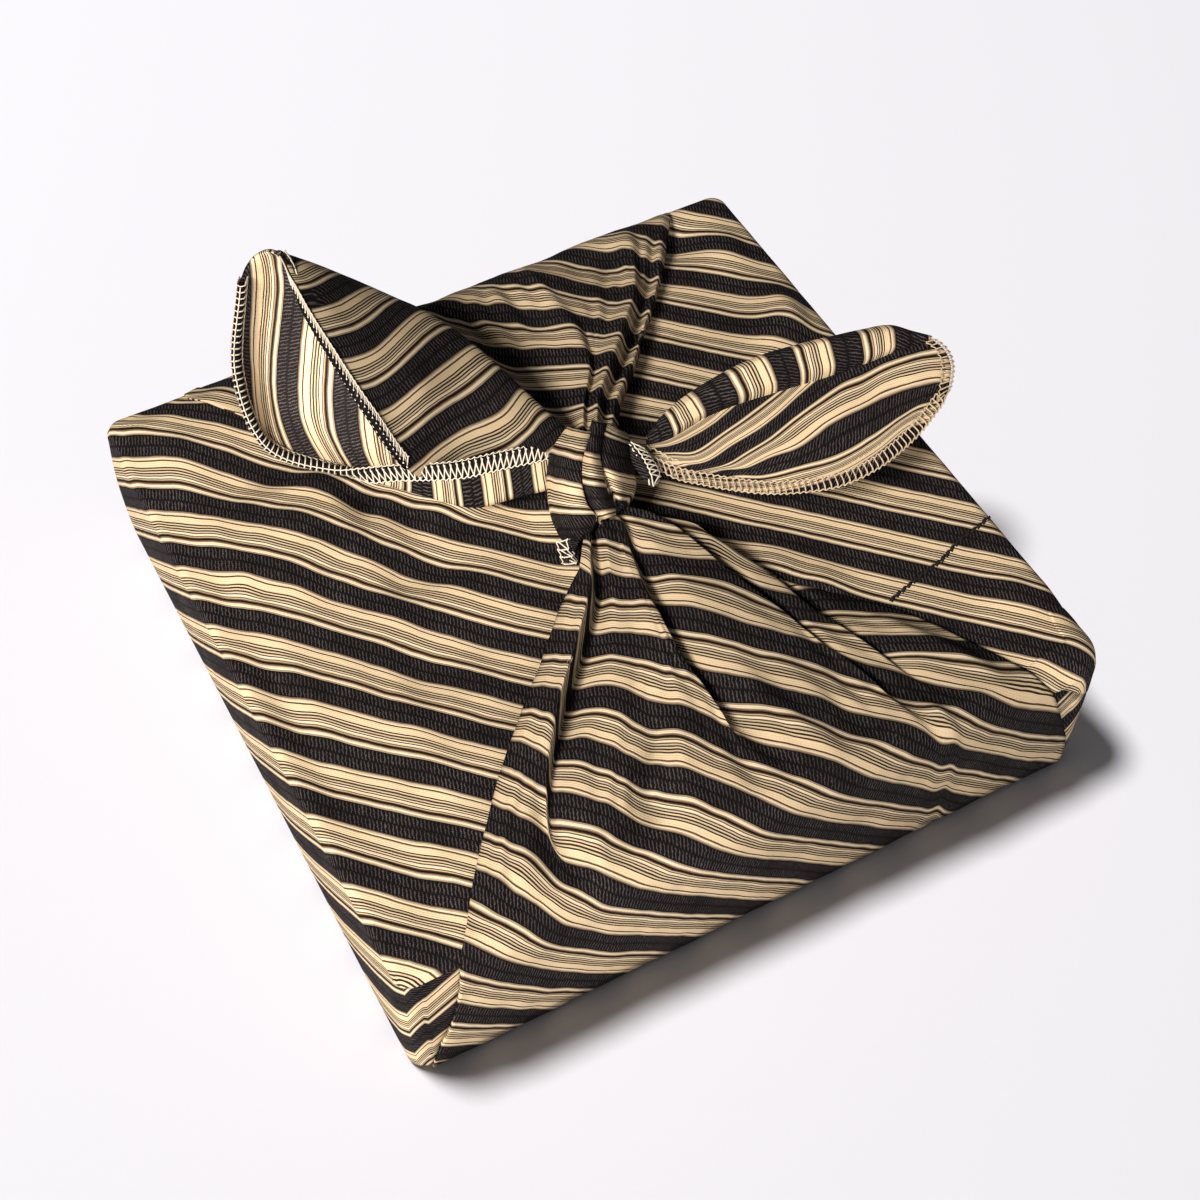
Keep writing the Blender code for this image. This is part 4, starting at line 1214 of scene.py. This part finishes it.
knotPieces = [makeKnotFold(name) for name in ("knotFoldLeft", "knotFoldMiddle", "knotFoldRight")]
knotPieces.append(makeKnotCore())
print("knot made")

# the overlocked hems: a dark band round the edge and a ladder of thread
hems = {
    "pitch": 1.45, "thread": 0.18, "lift": 0.35,    # the band stands off the cloth
    "clear": 0.2, "halfRung": 0.36,                 # the thread over the band, a rung's half
    "bandStart": 0.62 * cloth["repeat"] + 2.4,      # the hem's strip lies in the dark band
    "leftEndLower": 3.4, "leftEndUpper": 2.6, "leaf": 2.2,      # widths
    "upperUntil": 4.0,                              # the upper hem ends at this stripe
    "flapSeam": [(51.5, -50), (59, -48), (67, -46), (75, -43), (80, -42), (83.6, -40.8)],
    "seamPitch": 1.9, "seamThread": 0.42, "seamHeights": (-0.05, 0.22, -0.05),
}


def edgePlaces(rows, pitch, flip=1.0, depth=3.0):
    # rows run from the edge into the cloth: places along the edge at even steps,
    # each with the ways into the cloth, out of its face and along the edge
    rim, inward = [], []
    for row in rows:
        rim.append(Vector(row[0][:3]))
        reach, k = 0.0, 0
        while reach < depth and k < len(row) - 1:
            reach += gap(row[k + 1], row[k])
            k += 1
        inward.append((Vector(row[k][:3]) - rim[-1]).normalized())
    lengths = [0.0]
    for a, b in zip(rim, rim[1:]):
        lengths.append(lengths[-1] + (b - a).length)
    count = max(2, round(lengths[-1] / pitch))
    made, j = [], 0
    for k in range(count + 1):
        at = lengths[-1] * k / count
        while j < len(lengths) - 2 and lengths[j + 1] < at:
            j += 1
        t = min(1.0, (at - lengths[j]) / max(1e-6, lengths[j + 1] - lengths[j]))
        way = inward[j].lerp(inward[j + 1], t).normalized()
        ahead = (rim[j + 1] - rim[j]).normalized()
        made.append((rim[j].lerp(rim[j + 1], t), way, way.cross(ahead).normalized() * flip, ahead))
    return made


def hemBand(name, places, width):
    # a strip folded round the edge
    lift, thick = hems["lift"], cloth["endThickness"]
    table = []
    for point, way, out, ahead in places:
        low = -out * (thick + lift)
        table.append([tuple(p) for p in (
            point + way * width + out * 0.12, point + way * width * 0.6 + out * lift,
            point + out * lift, point - way * 0.45 - out * thick * 0.5,
            point + low, point + way * width * 0.6 + low,
            point + way * width - out * (thick + 0.12))])
    fine = gridOf(table, 16, len(table) * 2, False)
    reach = arcAlong(fine)
    bm = layGrid(fine, lambda p, i, j: (j * 0.7, hems["bandStart"] + 0.15 * reach[j][i]))
    finishPiece(name, bm, cloth["hemThickness"], materials=bothSides[:1])


def threadPiece(name, lines, radius, material):
    # round threads through the given lines of points
    curve = bpy.data.curves.new(name, "CURVE")
    curve.dimensions = "3D"
    curve.bevel_depth = radius * mm
    curve.bevel_resolution = 0
    for points in lines:
        line = curve.splines.new("POLY")
        line.points.add(len(points) - 1)
        for spot, p in zip(line.points, points):
            spot.co = (p.x * mm, p.y * mm, p.z * mm, 1.0)
    holder = bpy.data.objects.new(name, curve)
    bpy.context.scene.collection.objects.link(holder)
    bpy.context.view_layer.update()
    graph = bpy.context.evaluated_depsgraph_get()
    mesh = bpy.data.meshes.new_from_object(holder.evaluated_get(graph))
    bpy.data.objects.remove(holder, do_unlink=True)
    mesh.name = name
    mesh.materials.clear()
    return addPiece(name, mesh, [material])


def threadLadder(name, places, far, thick, material, lift=0.0, near=None):
    # rungs from the edge, or from near, to far inside it, tied by a thread along each side
    # with no near they go round the edge, with a zigzag on top
    high = lift + hems["clear"]
    lines, above, below, outer = [], [], [], []
    if near is None:
        lines = [[a + outA * high, b + wayB * far * 0.96 + outB * high]
                 for (a, wayA, outA, aheadA), (b, wayB, outB, aheadB) in zip(places, places[1:])]
    for point, way, out, ahead in places:
        half = ahead * hems["halfRung"] * hems["pitch"]
        top = point + way * far + out * high
        if near is None:
            under = point + way * far - out * (thick + high)
            edge = point - way * (hems["lift"] + hems["clear"]) - out * thick * 0.5
            lines.append([top, point + way * far * 0.5 + out * (high + 0.1) + half * 0.3,
                          point + out * high + half * 0.5, edge + half * 0.5,
                          point - out * (thick + high) + half * 0.5,
                          point + way * far * 0.5 - out * (thick + high) + half * 0.3, under])
            below += [under - half * 0.6 + way * 0.25, under + half * 0.6 - way * 0.2]
            outer += [edge - half * 0.4 + way * 0.2, edge + half * 0.6 - way * 0.25]
        else:
            start = point + way * near + out * high
            lines.append([top, top.lerp(start, 0.5) + half * 0.4 + out * 0.1, start])
            outer += [start - half * 0.6 + way * 0.2, start + half * 0.6 - way * 0.2]
        above += [top - half * 0.6 + way * 0.25, top + half * 0.6 - way * 0.2]
    lines += [thread for thread in (above, below, outer) if thread]
    return threadPiece(name, lines, hems["thread"], material)


def makeLeftHems():
    upper = [row[::-1] for row in leftFine if row[-1][3] < hems["upperUntil"]]
    for name, rows, flip in (("leftEndLower", leftFine, -1.0), ("leftEndUpper", upper, 1.0)):
        places, width = edgePlaces(rows, hems["pitch"], flip), hems[name]
        hemBand(name + "Hem", places, width)
        threadLadder(name + "Stitches", places, width, leftEnd["thickness"], creamThread,
                     hems["lift"])


def makeLeafStitches():
    # along the leaf's hem, then round its end, each row read from the edge inwards
    end = [column[:0:-1] for column in turned(leafFine)[1:-4]]
    places = edgePlaces(leafFine + end, hems["pitch"])
    width, thick = hems["leaf"], rightLeaf["thickness"]
    threadLadder("rightEndStitches", places, width, thick, goldThread)
    threadLadder("rightEndInnerStitches", places, 2 * width, thick, goldThread, near=width + 0.15)


def makeFlapSeam():
    # the short dark stitches of the seam across the right flap
    fine = gridOf([[(x, y + k, 0.0) for k in range(3)] for x, y in hems["flapSeam"]], 2, 40, False)
    stitches = []
    for point, way, out, ahead in edgePlaces(fine, hems["seamPitch"], depth=1.5):
        reach = ahead * 0.42 * hems["seamPitch"] + way * 0.3
        spots = zip((point - reach, point, point + reach), hems["seamHeights"])
        stitches.append([Vector((p.x, p.y, lidHeight(p.x, p.y) + high)) for p, high in spots])
    threadPiece("flapSeamStitches", stitches, hems["seamThread"], blackThread)


# the cut corners of the cloth that stick out of the knot, with their overlock
knotTips = {
    "rightTip": {
        "rows": [
            [(15.2, 5.4, 56.2), (16, 3.7, 56.8), (17.3, 2.8, 56)],
            [(14.3, 3.4, 55.6), (15.4, 0.8, 56.6), (17.7, 0.3, 55.2)],
            [(13.5, 1, 54.8), (15.1, -1.6, 55.8), (17.9, -2.1, 54.4)],
            [(14, -1.8, 53.2), (15.4, -3.4, 54.4), (17.8, -3.7, 53)],
            [(14.8, -5, 52), (15.7, -5.1, 52.6), (17.4, -4.1, 52)],
        ],
        "stripes": (0.62, 0.95), "flip": -1.0, "pitch": 1.15,
    },
    "lowerTip": {
        "rows": [
            [(-8.3, -4.6, 46), (-6.7, -6.2, 47.2), (-4.1, -7.1, 46.2)],
            [(-8.7, -5.7, 45), (-7.3, -7.4, 46), (-5.3, -7.8, 45.2)],
            [(-8.7, -7.1, 43.6), (-7.8, -8.3, 44.4), (-6.6, -8.4, 43.8)],
            [(-8.6, -8.1, 42.2), (-8.3, -8.6, 42.6), (-7.8, -8.6, 42.3)],
        ],
        "stripes": (0.60, 0.75), "flip": 1.0, "pitch": 1.5,
    },
    "cells": (16, 36), "stitchWidth": 2.6, "rowStep": 0.3,
    "thickness": cloth["foldThickness"], "upward": (0, -0.3, 1), "bumps": (0.1, 61.0),
}


def makeKnotTip(name):
    look, tip = knotTips, knotTips[name]

    def flat(p, i, j):
        stripes = mix(*tip["stripes"], i / look["cells"][0])
        return j * look["rowStep"], stripes * cloth["repeat"]

    fine = gridOf(tip["rows"], *look["cells"])
    bm = layGrid(fine, flat, *look["bumps"], unshaded)
    piece = finishPiece(name, bm, look["thickness"], look["upward"])
    if tip["flip"] < 0.0:       # stitched along its far edge
        fine = [row[::-1] for row in fine]
    places = [(p, way, out if out.z > 0 else -out, ahead)
              for p, way, out, ahead in edgePlaces(fine, tip["pitch"], tip["flip"], depth=2.0)]
    return [piece, threadLadder(name + "Stitches", places, look["stitchWidth"],
                                look["thickness"], creamThread)]


makeLeftHems()
makeLeafStitches()
makeFlapSeam()
tipPieces = makeKnotTip("rightTip") + makeKnotTip("lowerTip")
print("hems stitched")

print("finished")
